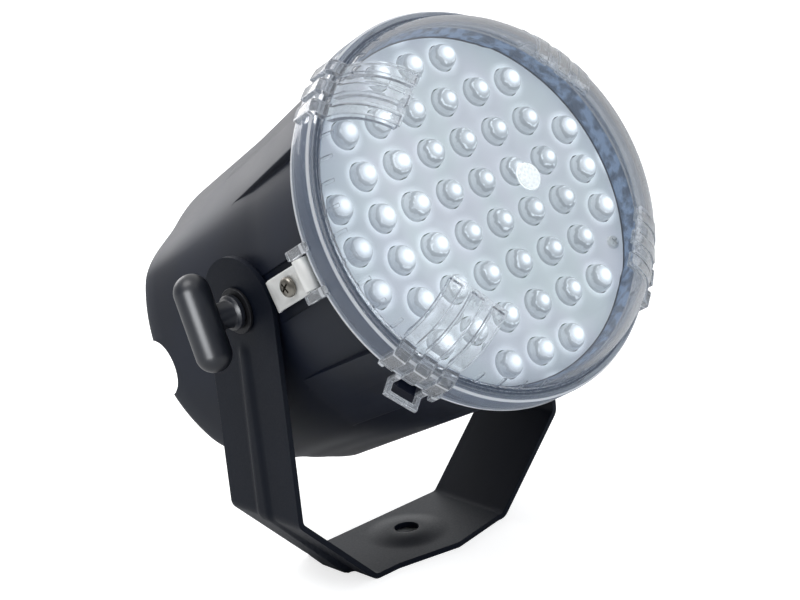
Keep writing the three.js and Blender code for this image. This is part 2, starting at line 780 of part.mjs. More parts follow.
// Lamp field: a square of lamps and a short row of them outside each side
function lampPlaces() {
  const places = [];
  const reach = (lamp.columns - 1) / 2;
  for (let i = -reach; i <= reach; i += 1) {
    for (let j = -reach; j <= reach; j += 1) places.push([i, j]);
  }
  const outer = reach + 1;
  const sideReach = (lamp.sideRow - 1) / 2;
  for (let k = -sideReach; k <= sideReach; k += 1) {
    places.push([-outer, k], [outer, k], [k, -outer], [k, outer]);
  }
  return places.map(([column, row]) => [column * lamp.pitch, row * lamp.pitch]);
}

const plateFront = housing.seatZ + gap + plate.thickness;

function makeLampBoard() {
  const foot = board.frontZ - board.thickness;
  const bodies = lampPlaces().map(([x, y]) => {
    const rim = plateFront;
    const dome = Array.from({ length: lamp.domeSteps }, (_, i) => {
      const turn = (i / lamp.domeSteps) * (Math.PI / 2);
      return [lamp.radius * Math.cos(turn), rim + lamp.radius * Math.sin(turn)];
    });
    const profile = [[0, foot + gap], [lamp.radius, foot + gap], ...dome, [0, rim + lamp.radius]];
    return moved(turned(profile, facets.lamp), x, y, 0);
  });
  const holes = lampBossPlaces().map(([x, y]) => disc(smallScrew.hole, foot - overrun,
    board.frontZ + overrun, facets.small, x, y));
  return join(cut(disc(board.radius, foot, board.frontZ, facets.body), ...holes), ...bodies);
}

function makeLampPlate() {
  const back = housing.seatZ + gap;
  const sheet = disc(plate.radius, back, plateFront, facets.body);
  const through = (radius, sides, x, y) => disc(radius, back - overrun, plateFront + overrun, sides, x, y);
  const holes = lampPlaces().map(([x, y]) => through(plate.lampHole, facets.lamp, x, y));
  const [x, y] = lampBossPlaces()[0];
  return cut(sheet, ...holes, through(smallScrew.hole, facets.small, x, y));
}

// Rear panel in its rebate, with vents, speed shaft hole, inlet hole and screw holes
const panelBack = housing.rearZ + gap / 3;
const panelFront = housing.rearZ + panel.recess - gap;

function makePanel() {
  const sheet = disc(panel.radius, panelBack, panelFront, facets.body);
  const vents = Array.from({ length: panel.ventCount }, (_, i) => {
    const y = panel.ventY + (i - (panel.ventCount - 1) / 2) * panel.ventPitch;
    const chord = Math.sqrt(panel.openingRadius ** 2 - y ** 2);
    const reach = Math.min(panel.ventLength / 2, chord - panel.ventPitch);
    return bar([-reach, y - panel.ventWidth / 2, panelBack - overrun],
      [reach, y + panel.ventWidth / 2, panelFront + overrun]);
  });
  const [from, to] = [panelBack - overrun, panelFront + overrun];
  const through = (radius, x, y) => disc(radius, from, to, facets.pin, x, y);
  return cut(sheet, ...vents, through(speed.bushRadius + gap, 0, speed.y),
    through(inlet.threadRadius + gap, inlet.x, inlet.y),
    ...panelScrewPlaces().map(([x, y]) => through(smallScrew.hole, x, y)));
}

// Speed control: can and bush inside the panel, nut and knob outside
function makeSpeedControl() {
  const can = disc(speed.canRadius, panelFront + gap, panelFront + gap + speed.canLength, facets.pin);
  const bushEnd = panelBack - gap - speed.nutThickness - gap;
  const bush = disc(speed.bushRadius, bushEnd, panelFront + gap * 2, facets.pin);
  const bore = disc(speed.shaftRadius + gap, panelBack - speed.knobLength, panelFront + speed.canLength / 2,
    facets.pin);
  return moved(cut(join(can, bush), bore), 0, speed.y, 0);
}

function makeSpeedShaft() {
  const end = panelBack - gap - speed.knobLength + speed.knobWall;
  const shaft = disc(speed.shaftRadius, end, panelFront + speed.canLength / 2 - gap, facets.pin);
  return moved(shaft, 0, speed.y, 0);
}

function hexNut(acrossRadius, hole, fromZ, toZ) {
  return cut(disc(acrossRadius, fromZ, toZ, 6), disc(hole, fromZ - overrun, toZ + overrun, facets.pin));
}

function makeSpeedKnob() {
  const front = panelBack - gap * 2;
  const back = front - speed.knobLength;
  const body = turned([
    [0, back],
    [speed.knobTop, back],
    [speed.knobRadius, back + speed.knobWall / 2],
    [speed.knobRadius, front],
    [0, front],
  ], facets.pin);
  const wellFloor = front - speed.nutThickness - gap * 2;
  const well = disc(speed.nutRadius + gap * 2, wellFloor, front + overrun, facets.pin);
  const bore = disc(speed.shaftRadius + gap, back + speed.knobWall, front, facets.pin);
  const flutes = Array.from({ length: speed.flutes }, (_, i) => about(disc(speed.fluteRadius,
    back - overrun, front - speed.nutThickness, facets.small, speed.knobRadius + speed.fluteRadius / 2, 0),
  (360 / speed.flutes) * (i + 1 / 2)));
  const pointer = bar([-speed.pointerWidth / 2, speed.shaftRadius, back - speed.pointerHeight],
    [speed.pointerWidth / 2, speed.knobTop, back + overrun]);
  return moved(join(cut(body, well, bore, ...flutes), pointer), 0, speed.y, 0);
}

// Power inlet: a round socket with a centre pin, its lip outside the panel and a nut inside
function makeInlet() {
  const lipBack = panelBack - gap - inlet.lip;
  const form = join(
    disc(inlet.lipRadius, lipBack, panelBack - gap, facets.pin),
    disc(inlet.threadRadius, lipBack, panelFront + inlet.nutThickness + gap * 4, facets.pin),
    disc(inlet.bodyRadius, panelFront + inlet.nutThickness + gap * 3,
      panelFront + inlet.nutThickness + inlet.bodyLength, facets.pin));
  const socket = disc(inlet.socketRadius, lipBack - overrun, lipBack + inlet.socketDepth, facets.pin);
  const pinEnd = lipBack + inlet.socketDepth + overrun;
  const pin = disc(inlet.pinRadius, lipBack + inlet.lip, pinEnd, facets.small);
  return moved(join(cut(form, socket), pin), inlet.x, inlet.y, 0);
}

// Control board and what it carries
const controlFront = control.backZ + control.thickness;

function controlPosts() {
  return [[1, 1], [1, -1], [-1, 1], [-1, -1]].map(([sx, sy]) => [
    sx * control.postX, control.y + sy * control.postY]);
}

function makeControlBoard() {
  const sheet = bar([-control.width / 2, control.y - control.height / 2, control.backZ],
    [control.width / 2, control.y + control.height / 2, controlFront]);
  return cut(sheet, ...controlPosts().map(([x, y]) => disc(smallScrew.hole, control.backZ - overrun,
    controlFront + overrun, facets.small, x, y)));
}

function makeHeatSink() {
  const half = control.sinkWidth / 2;
  const base = bar([-half, 0, 0], [half, control.sinkBase, control.sinkHeight]);
  const pitch = (control.sinkWidth - control.sinkFin) / (control.sinkFins - 1);
  const fins = Array.from({ length: control.sinkFins }, (_, i) => {
    const x = -half + pitch * i;
    return bar([x, 0, 0], [x + control.sinkFin, control.sinkBase * 4, control.sinkHeight]);
  });
  return join(base, ...fins);
}

function makeTerminal() {
  const { terminalWidth: w, terminalDepth: d, terminalHeight: h, terminalWay: way } = control;
  const block = bar([-w / 2, -d / 2, 0], [w / 2, d / 2, h]);
  const ways = [-1, 1].map((side) => disc(lead.radius + gap, 0, d, facets.lamp).rotate([-90, 0, 0])
    .translate([side * way / 2, gap, h / 2]));
  return cut(block, ...ways);
}

function sweep(section, points, steps) {
  const path = new THREE.CatmullRomCurve3(points.map((p) => new THREE.Vector3(...p)));
  return solid(new THREE.ExtrudeGeometry(section, { extrudePath: path, steps, bevelEnabled: false,
    curveSegments: facets.wire / 2 }));
}

// Root: the yoke stands on its base, the head is turned about the pivot
const group = new THREE.Group();
group.name = 'strobe_light';
const head = new THREE.Group();
head.position.z = pivotHeight;
head.rotation.x = (90 - tiltAngle) * degree;
const lampAxis = new THREE.Group();
lampAxis.position.y = -headAxisDrop;
head.add(lampAxis);
group.add(head);

addPiece(group, 'yoke', makeYoke(), blackPaint());
addPiece(lampAxis, 'housing', makeHousing(), blackMoulding());
addPiece(lampAxis, 'front_cover', makeCover(), clearPlastic());
addPiece(lampAxis, 'lamp_plate', makeLampPlate(), satinSheet());
addPiece(lampAxis, 'lamp_board', makeLampBoard(), lampClear());
addPiece(lampAxis, 'rear_panel', makePanel(), blackMoulding());

// Pivot hardware at both sides
[['left', -1], ['right', 1]].forEach(([name, side]) => {
  const lay = (body) => outwards(body, side);
  const washerFrom = pivot.spotFace + gap;
  const washerTo = yokeInner - gap;
  addPiece(head, `friction_washer_${name}`,
    lay(ring(pivot.washerRadius, pivot.washerHole, washerFrom, washerTo)), rubber());
  const insertFrom = pivot.insertStop - gap - pivot.insertLength;
  addPiece(head, `threaded_insert_${name}`,
    lay(ring(pivot.insertRadius, pivot.studRadius + gap, insertFrom, pivot.insertStop - gap)), brass());
  const capFrom = yoke.width / 2 + gap;
  const capTo = capFrom + pivot.capWasherThickness;
  addPiece(head, `knob_washer_${name}`,
    lay(ring(pivot.capWasherRadius, pivot.studRadius + gap, capFrom, capTo)), brightSteel());
  const neckFrom = capTo + gap;
  addPiece(head, `knob_stud_${name}`,
    lay(disc(pivot.studRadius, pivot.studEnd, neckFrom + knob.boreDepth - gap, facets.pin)), brightSteel());

  const neck = disc(knob.neckRadius, neckFrom, knob.barCentre, facets.pin);
  const collar = disc(knob.collarRadius, neckFrom, neckFrom + knob.collarLength, facets.pin);
  const capsule = new THREE.CapsuleGeometry(knob.barRadius, knob.barHalfLength * 2, facets.cap, facets.pin);
  const bore = disc(knob.boreRadius, neckFrom - overrun, neckFrom + knob.boreDepth, facets.pin);
  const grip = cut(join(neck, collar, moved(solid(capsule), 0, 0, knob.barCentre)), bore);
  addPiece(head, `t_knob_${name}`, lay(grip).rotate([tiltAngle - knob.lean, 0, 0]), knobPlastic());
});

// Cover clips at both sides
[['left', 180], ['right', 0]].forEach(([name, turn]) => {
  addPiece(lampAxis, `cover_clip_${name}`, about(makeClip(), turn), brightSteel());
  const fastener = screw(clip.screwRadius, clip.headRadius, clip.headHeight, clip.screwLength);
  const seat = clip.seatX + gap * 2 + clip.thickness;
  addPiece(lampAxis, `clip_screw_${name}`,
    about(moved(outwards(fastener, 1), seat, 0, clip.screwZ), turn), brightSteel());
});

// Lamp board screws, and the one longer screw and spacer that also hold the plate
lampBossPlaces().forEach(([x, y], i) => {
  const onPlate = i === 0;
  const seat = onPlate ? plateFront + gap : board.frontZ + gap;
  const length = seat - (board.frontZ - board.thickness) + smallScrew.length;
  const fastener = screw(smallScrew.radius, smallScrew.headRadius, smallScrew.headHeight, length);
  const name = onPlate ? 'plate_screw' : `board_screw_${i}`;
  addPiece(lampAxis, name, moved(fastener, x, y, seat), brightSteel());
  if (onPlate) {
    const tube = ring(boardBoss.spacerRadius, smallScrew.hole, board.frontZ + gap, housing.seatZ,
      facets.small);
    addPiece(lampAxis, 'plate_spacer', moved(tube, x, y, 0), brightSteel());
  }
});

// Rear panel fasteners and controls
panelScrewPlaces().forEach(([x, y], i) => {
  const fastener = screw(smallScrew.radius, smallScrew.headRadius, smallScrew.headHeight,
    smallScrew.length).rotate([180, 0, 0]);
  addPiece(lampAxis, `rear_screw_${i + 1}`, moved(fastener, x, y, panelBack - gap), brightSteel());
});
addPiece(lampAxis, 'speed_control', makeSpeedControl(), castAlloy());
addPiece(lampAxis, 'speed_nut', moved(hexNut(speed.nutRadius, speed.bushRadius + gap,
  panelBack - gap - speed.nutThickness, panelBack - gap), 0, speed.y, 0), brightSteel());
addPiece(lampAxis, 'speed_shaft', makeSpeedShaft(), brightSteel());
addPiece(lampAxis, 'speed_knob', makeSpeedKnob(), knobPlastic());
addPiece(lampAxis, 'power_inlet', makeInlet(), blackMoulding());
addPiece(lampAxis, 'inlet_nut', moved(hexNut(inlet.nutRadius, inlet.threadRadius + gap, panelFront + gap,
  panelFront + gap + inlet.nutThickness), inlet.x, inlet.y, 0), brightSteel());

// Control board on four posts
addPiece(lampAxis, 'control_board', makeControlBoard(), boardGreen());
controlPosts().forEach(([x, y], i) => {
  addPiece(lampAxis, `board_post_${i + 1}`, disc(control.postRadius, panelFront + gap, control.backZ - gap,
    facets.small, x, y), castAlloy());
});
[-1, 1].forEach((side, i) => {
  const x = control.width / 4 + side * control.capSpacing / 2;
  addPiece(lampAxis, `storage_capacitor_${i + 1}`, disc(control.capRadius, controlFront + gap,
    controlFront + gap + control.capHeight, facets.pin, x, control.y - control.postY / 2), capSleeve());
});
addPiece(lampAxis, 'heat_sink', moved(makeHeatSink(), -control.width / 4, control.y - control.postY,
  controlFront + gap), castAlloy());
addPiece(lampAxis, 'control_chip', bar(
  [-control.chipWidth / 2, control.y - control.chipLength / 2, controlFront + gap],
  [control.chipWidth / 2, control.y + control.chipLength / 2, controlFront + gap + control.chipHeight],
), blackInsulation());
addPiece(lampAxis, 'terminal_block', moved(makeTerminal(), control.width / 4, control.y + control.postY / 2,
  controlFront + gap), terminalGreen());

// Ribbon harness from the control board to the lamp board, and two leads from the inlet
const plugZ = controlFront + gap;
const harnessY = control.y + control.postY / 2;
addPiece(lampAxis, 'harness_plug_rear', bar(
  [harness.x - harness.width / 2, harnessY - harness.plugDepth / 2, plugZ],
  [harness.x + harness.width / 2, harnessY + harness.plugDepth / 2, plugZ + harness.plugHeight],
), greyInsulation());
const lampFoot = board.frontZ - board.thickness - gap;
addPiece(lampAxis, 'harness_plug_front', bar(
  [harness.x - harness.width / 2, harnessY - harness.plugDepth / 2, lampFoot - harness.plugHeight],
  [harness.x + harness.width / 2, harnessY + harness.plugDepth / 2, lampFoot],
), greyInsulation());
const ribbonFrom = plugZ + harness.plugHeight + gap;
const ribbonTo = lampFoot - harness.plugHeight - gap;
const ribbonMid = (ribbonFrom + ribbonTo) / 2;
const ribbonSection = outline([
  [-harness.thickness / 2, -harness.width / 2 + gap],
  [harness.thickness / 2, -harness.width / 2 + gap],
  [harness.thickness / 2, harness.width / 2 - gap],
  [-harness.thickness / 2, harness.width / 2 - gap],
]);
addPiece(lampAxis, 'harness_ribbon', sweep(ribbonSection, [
  [harness.x, harnessY, ribbonFrom],
  [harness.x, harnessY, ribbonFrom + harness.plugHeight],
  [harness.x, harnessY + harness.sweep, ribbonMid],
  [harness.x, harnessY, ribbonTo - harness.plugHeight],
  [harness.x, harnessY, ribbonTo],
], harness.steps), greyInsulation());

const inletTail = panelFront + inlet.nutThickness + inlet.bodyLength + gap;
const terminalX = control.width / 4;
const terminalTop = control.y + control.postY / 2 + control.terminalDepth / 2;
const terminalZ = controlFront + gap + control.terminalHeight / 2;
const leadSection = new THREE.Shape();
leadSection.absarc(0, 0, lead.radius, 0, Math.PI * 2, false);
[['positive', -1, redInsulation()], ['negative', 1, blackInsulation()]].forEach(([name, side, colour]) => {
  const startX = inlet.x + side * lead.spacing / 2;
  const endX = terminalX + side * control.terminalWay / 2;
  const outY = control.y + control.height / 2 + lead.sag;
  addPiece(lampAxis, `${name}_lead`, sweep(leadSection, [
    [startX, inlet.y, inletTail],
    [startX, inlet.y, inletTail + lead.radius * 2],
    [startX, control.y + control.height / 2, inletTail + lead.radius * 4],
    [(startX + endX) / 2, outY, control.backZ + control.thickness / 2],
    [endX, outY, terminalZ],
    [endX, terminalTop + lead.radius * 2, terminalZ],
    [endX, terminalTop - control.terminalDepth / 4, terminalZ],
  ], lead.steps), colour);
});

// Centre the lamp over its origin, with the underside of the yoke at z = 0
group.updateMatrixWorld(true);
const bounds = new THREE.Box3().setFromObject(group, true);
const centre = bounds.getCenter(new THREE.Vector3());
group.position.set(-centre.x, -centre.y, -bounds.min.z);

export default group;
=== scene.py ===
import json
import math

import bpy
from mathutils import Matrix, Vector

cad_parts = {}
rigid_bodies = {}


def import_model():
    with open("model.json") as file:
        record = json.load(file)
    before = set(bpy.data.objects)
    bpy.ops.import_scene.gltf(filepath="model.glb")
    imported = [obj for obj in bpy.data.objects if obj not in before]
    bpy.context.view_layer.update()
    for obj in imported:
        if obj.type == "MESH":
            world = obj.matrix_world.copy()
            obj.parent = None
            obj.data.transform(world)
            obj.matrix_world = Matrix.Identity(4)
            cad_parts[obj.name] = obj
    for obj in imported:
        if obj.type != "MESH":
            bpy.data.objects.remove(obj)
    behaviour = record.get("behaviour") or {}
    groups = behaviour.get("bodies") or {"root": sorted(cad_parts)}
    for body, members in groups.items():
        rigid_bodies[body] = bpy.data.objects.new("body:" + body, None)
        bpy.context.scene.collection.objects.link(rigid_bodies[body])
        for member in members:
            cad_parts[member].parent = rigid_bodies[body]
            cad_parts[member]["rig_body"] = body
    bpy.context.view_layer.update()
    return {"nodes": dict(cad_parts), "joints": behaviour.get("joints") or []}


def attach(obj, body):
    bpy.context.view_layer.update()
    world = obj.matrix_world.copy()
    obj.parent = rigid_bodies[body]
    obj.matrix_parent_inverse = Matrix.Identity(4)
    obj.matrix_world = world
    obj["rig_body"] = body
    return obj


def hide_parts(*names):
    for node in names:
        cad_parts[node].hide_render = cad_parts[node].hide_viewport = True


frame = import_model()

mm = 0.001


def tone(red, green, blue):  # a screen colour, 0 to 255, as the shaders take it
    def linear(value):
        share = value / 255
        return share / 12.92 if share <= 0.04045 else ((share + 0.055) / 1.055) ** 2.4
    return (linear(red), linear(green), linear(blue), 1)


# where things are: the lamp's own frame has Z along its axis, forwards, and the light stands on Z = 0
joints = {joint["name"]: joint for joint in frame["joints"]}
pivot = Vector(joints["head_tilt"]["pos_m"])
head = {"tilt": 29, "axisDrop": 2.6}  # degrees up at rest; the lamp's axis runs below the pivots
tilt = math.radians(head["tilt"])
sideways = Vector((1, 0, 0))
upwards = Vector((0, math.sin(tilt), math.cos(tilt)))
forwards = Vector((0, -math.cos(tilt), math.sin(tilt)))


def frameAt(origin, x, y, z):  # from millimetres in a frame to metres in the scene
    turn = Matrix((x, y, z)).transposed().to_4x4()
    return Matrix.Translation(origin) @ turn @ Matrix.Scale(mm, 4)


lampFrame = frameAt(pivot - upwards * head["axisDrop"] * mm, sideways, upwards, forwards)
pivotFrame = frameAt(pivot, sideways, upwards, forwards)
standFrame = frameAt(Vector((0, pivot.y, 0)), Vector((1, 0, 0)), Vector((0, 1, 0)), Vector((0, 0, 1)))


# modelling, in millimetres round the origin, as by hand
def selectNone():
    if bpy.context.mode != "OBJECT":
        bpy.ops.object.mode_set(mode="OBJECT")
    bpy.ops.object.select_all(action="DESELECT")


def pick(*pieces):  # these alone, the first one active
    selectNone()
    for piece in pieces:
        piece.select_set(True)
    bpy.context.view_layer.objects.active = pieces[0]
    return pieces[0]


def named(name):
    piece = bpy.context.object
    piece.name = piece.data.name = name
    bpy.ops.object.transform_apply(location=True, rotation=True, scale=True)
    return piece


def faceOutwards():  # all the active piece's faces
    bpy.ops.object.mode_set(mode="EDIT")
    bpy.ops.mesh.select_all(action="SELECT")
    bpy.ops.mesh.normals_make_consistent(inside=False)
    bpy.ops.object.mode_set(mode="OBJECT")


def turned(name, profile, segments):  # profile of (radius, z); it ends on the axis or closes on itself
    selectNone()
    onAxis = 0.0002
    radius, z = max(profile[0][0], onAxis), profile[0][1]
    bpy.ops.mesh.primitive_circle_add(vertices=segments, radius=radius, location=(0, 0, z))
    piece = named(name)
    bpy.ops.object.mode_set(mode="EDIT")
    bpy.ops.mesh.select_all(action="SELECT")
    for nextRadius, nextZ in profile[1:]:
        nextRadius = max(nextRadius, onAxis)
        bpy.ops.mesh.extrude_region_move(TRANSFORM_OT_translate={"value": (0, 0, nextZ - z)})
        grow = nextRadius / radius
        bpy.ops.transform.resize(value=(grow, grow, 1), center_override=(0, 0, nextZ))
        radius, z = nextRadius, nextZ
    bpy.ops.mesh.select_all(action="SELECT")
    bpy.ops.mesh.remove_doubles(threshold=0.001)
    faceOutwards()
    return piece


def block(name, low, high, bevel=0):
    selectNone()
    size = [b - a for a, b in zip(low, high)]
    middle = [(a + b) / 2 for a, b in zip(low, high)]
    bpy.ops.mesh.primitive_cube_add(size=1, location=middle, scale=size)
    piece = named(name)
    return softened(piece, bevel) if bevel else piece


def slab(name, points, low, high, bevel=0):  # an outline of (x, z) points, thick from low to high along Y
    selectNone()
    bpy.ops.mesh.primitive_circle_add(vertices=len(points), radius=1, fill_type="NGON")
    piece = named(name)
    for vertex, (x, z) in zip(piece.data.vertices, points):
        vertex.co = (x, low, z)
    bpy.ops.object.mode_set(mode="EDIT")
    bpy.ops.mesh.select_all(action="SELECT")
    bpy.ops.mesh.extrude_region_move(TRANSFORM_OT_translate={"value": (0, high - low, 0)})
    faceOutwards()
    return softened(piece, bevel) if bevel else piece


def rod(name, radius, start, end, segments=48, bevel=0):  # a round bar between two points
    selectNone()
    start, end = Vector(start), Vector(end)
    along = end - start
    bpy.ops.mesh.primitive_cylinder_add(
        vertices=segments, radius=radius, depth=along.length, location=(start + end) / 2,
        rotation=along.to_track_quat("Z", "Y").to_euler())
    piece = named(name)
    return softened(piece, bevel) if bevel else piece


def softened(piece, width, segments=2, angle=35):
    pick(piece)
    edge = piece.modifiers.new("edge", "BEVEL")
    edge.width, edge.segments, edge.limit_method = width, segments, "ANGLE"
    edge.angle_limit = math.radians(angle)
    bpy.ops.object.modifier_apply(modifier=edge.name)
    return piece


def combined(piece, other, operation):  # the other piece is used up
    pick(piece)
    change = piece.modifiers.new("combine", "BOOLEAN")
    change.operation, change.object, change.solver = operation, other, "EXACT"
    bpy.ops.object.modifier_apply(modifier=change.name)
    bpy.data.objects.remove(other)
    return piece


def joined(name, *pieces):
    first = pick(*pieces)
    if len(pieces) > 1:
        bpy.ops.object.join()
    first.name = first.data.name = name
    return first


def twin(piece, matrix):  # a copy with its own mesh, its place changed in the mesh
    copy = piece.copy()
    copy.data = piece.data.copy()
    bpy.context.scene.collection.objects.link(copy)
    copy.data.transform(matrix)
    if matrix.determinant() < 0:
        copy.data.flip_normals()
    return copy


def spun(degrees, axis="Z"):
    return Matrix.Rotation(math.radians(degrees), 4, axis)


def finished(piece, place, body, material, replaces=(), angle=32):
    piece.data.transform(place)
    pick(piece)
    bpy.ops.object.shade_smooth_by_angle(angle=math.radians(angle))
    piece.data.materials.clear()
    piece.data.materials.append(finishes[material])
    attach(piece, body)
    if replaces:
        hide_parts(*replaces)
    return piece


# shader expressions
class Shade:  # wraps a node's output, so that arithmetic on it adds Math nodes
    def __init__(self, tree, output=None):
        self.tree, self.output = tree, output

    def node(self, kind, settings=None, sockets=None, output=0):
        made = self.tree.nodes.new("ShaderNode" + kind)
        for key, value in (settings or {}).items():
            setattr(made, key, value)
        for key, value in (sockets or {}).items():
            if isinstance(value, Shade):
                self.tree.links.new(value.output, made.inputs[key])
            else:
                made.inputs[key].default_value = value
        return Shade(self.tree, made.outputs[output])

    def maths(self, operation, first, second=0.0):
        return self.node("Math", {"operation": operation}, {0: first, 1: second})

    def __add__(self, other):
        return self.maths("ADD", self, other)

    def __radd__(self, other):
        return self.maths("ADD", other, self)

    def __sub__(self, other):
        return self.maths("SUBTRACT", self, other)

    def __rsub__(self, other):
        return self.maths("SUBTRACT", other, self)

    def __mul__(self, other):
        return self.maths("MULTIPLY", self, other)

    def __rmul__(self, other):
        return self.maths("MULTIPLY", other, self)

    def __pow__(self, other):
        return self.maths("POWER", self, other)

    def __abs__(self):
        return self.maths("ABSOLUTE", self)

    def most(self, other):
        return self.maths("MAXIMUM", self, other)

    def dot(self, other):
        return self.node("VectorMath", {"operation": "DOT_PRODUCT"}, {0: self, 1: other}, output=1)

    def step(self, low, high):  # 0 below low, 1 above high, smooth between
        return self.node("MapRange", {"interpolation_type": "SMOOTHSTEP", "clamp": True},
                         {"Value": self, "From Min": low, "From Max": high})

    def blend(self, first, second):  # a colour, by this as the factor
        return self.node("Mix", {"data_type": "RGBA"}, {0: self, 6: first, 7: second}, output=2)

    def near(self, value, half):  # 1 where this is close to the value, 0 from half away
        return 1 - abs(self - value).step(half * 0.5, half)

    def noise(self, where, scale, detail=2.0, roughness=0.5):
        return self.node("TexNoise", {}, {
            "Vector": where, "Scale": scale, "Detail": detail, "Roughness": roughness})

    def axes(self, where):
        parts = self.node("SeparateXYZ", {}, {"Vector": where}).output.node
        return [Shade(self.tree, output) for output in parts.outputs]


def newMaterial(name):
    material = bpy.data.materials.new(name)
    material.use_nodes = True
    tree = material.node_tree
    tree.nodes.clear()
    shade = Shade(tree)
    return material, shade, shade.node("TexCoord", output="Object")


def lampPoint(shade, where):  # the lamp frame's own millimetres
    turn = lampFrame.inverted()
    return shade.node("Mapping", {"vector_type": "POINT"}, {
        "Vector": where, "Location": turn.to_translation(), "Rotation": turn.to_euler(),
        "Scale": turn.to_scale()})


def closeWith(shade, surface):
    out = shade.tree.nodes.new("ShaderNodeOutputMaterial")
    shade.tree.links.new(surface.output, out.inputs["Surface"])


def principled(shade, **sockets):
    inputs = {key.replace("_", " "): value for key, value in sockets.items()}
    return shade.node("BsdfPrincipled", {}, inputs)


unlit = (0, 0, 0, 1)


def grained(shade, where, scale, strength, distance, edge=0.0):  # a fine grain, over softened edges
    sockets = {"Height": shade.noise(where, scale, 3), "Strength": strength, "Distance": distance}
    if edge:
        sockets["Normal"] = shade.node("Bevel", {"samples": 4}, {"Radius": edge})
    return shade.node("Bump", {}, sockets)


def mouldedPlastic(name, colour, worn, roughness=0.42, grain=0.12, gloss=0.5, tint=(1, 1, 1, 1), paintedWallGlow=0):
    material, shade, where = newMaterial(name)
    cloud = shade.noise(where, 35, 3)
    fine = shade.noise(where, 700, 2)
    extra = {}
    if paintedWallGlow:  # painted lamplight: a bluish glow on the inside wall in front of the plate
        across, along, depth = shade.axes(lampPoint(shade, where))
        reach = (across * across + along * along) ** 0.5
        wall = (1 - reach.step(63.6, 64.2)) * depth.step(57.9, 58.4)
        wall *= 0.3 + shade.noise(where, 260, 3).step(0.35, 0.7)
        extra = {"Emission_Color": wall.blend(unlit, (0.13, 0.19, 0.29, 1)), "Emission_Strength": paintedWallGlow}
    closeWith(shade, principled(
        shade, Base_Color=(cloud.step(0.35, 0.75) * 0.6 + fine * 0.25).blend(colour, worn),
        Roughness=roughness + cloud * 0.1 - 0.05, Specular_IOR_Level=gloss, Specular_Tint=tint,
        Normal=grained(shade, where, 2200, grain, 0.00003, 0.0004), **extra))
    return material


def sprayedPaint(name, colour, worn):
    material, shade, where = newMaterial(name)
    cloud = shade.noise(where, 22, 4)
    speck = shade.noise(where, 1400, 2)
    closeWith(shade, principled(
        shade, Base_Color=(cloud.step(0.3, 0.8) * 0.7 + speck * 0.2).blend(colour, worn),
        Roughness=0.38 + speck * 0.2, Specular_IOR_Level=0.16, Specular_Tint=(0.86, 0.92, 1, 1),
        Normal=grained(shade, where, 900, 0.25, 0.00004, 0.0005)))
    return material


def brightMetal(name, colour, dull, roughness, metallic=1.0):
    material, shade, where = newMaterial(name)
    streak = shade.noise(shade.node("Mapping", {}, {"Vector": where, "Scale": (300, 40, 40)}), 6, 4)
    cloud = shade.noise(where, 60, 3)
    closeWith(shade, principled(
        shade, Base_Color=(cloud.step(0.3, 0.8) * 0.8).blend(colour, dull), Metallic=metallic,
        Roughness=roughness + streak * 0.1, Normal=grained(shade, where, 1500, 0.05, 0.00002, 0.0002)))
    return material


def sheath(name, colour, worn, roughness=0.6):  # rubber, insulation, sleeves and boards
    material, shade, where = newMaterial(name)
    fine = shade.noise(where, 500, 3)
    closeWith(shade, principled(
        shade, Base_Color=fine.step(0.3, 0.8).blend(colour, worn), Roughness=roughness + fine * 0.1,
        Normal=grained(shade, where, 1800, 0.2, 0.00004)))
    return material


ribGroups = {"angles": [38, 129, 219, 320], "inner": 47, "half": 11.3, "sparkleTo": 51}


def ribPlaces(shade, across, along):  # where the cover's ribs are, and their inner ends, which get painted glints
    ribs, ends = 0, 0
    for angle in ribGroups["angles"]:
        cos, sin = math.cos(math.radians(angle)), math.sin(math.radians(angle))
        out, side = across * cos + along * sin, along * cos - across * sin
        near = 1 - abs(side).step(ribGroups["half"] - 0.2, ribGroups["half"])
        here = out.step(ribGroups["inner"] - 0.3, ribGroups["inner"] + 0.1) * near
        ribs += here
        ends += here * (1 - out.step(ribGroups["sparkleTo"] - 3, ribGroups["sparkleTo"]))
    return ribs, ends


coverZones = {  # from where to where each begins, or its middle and half its width
    "side": (50, 64), "ledge": (64.4, 65.8), "beyondSkirt": (69.5, 69.8), "behindSkirt": (54.1, 54.4),
    "backLine": (55.0, 1.1), "ledgeLine": (64.6, 0.7), "gate": (5.0, 5.8), "face": (88, 89),
}


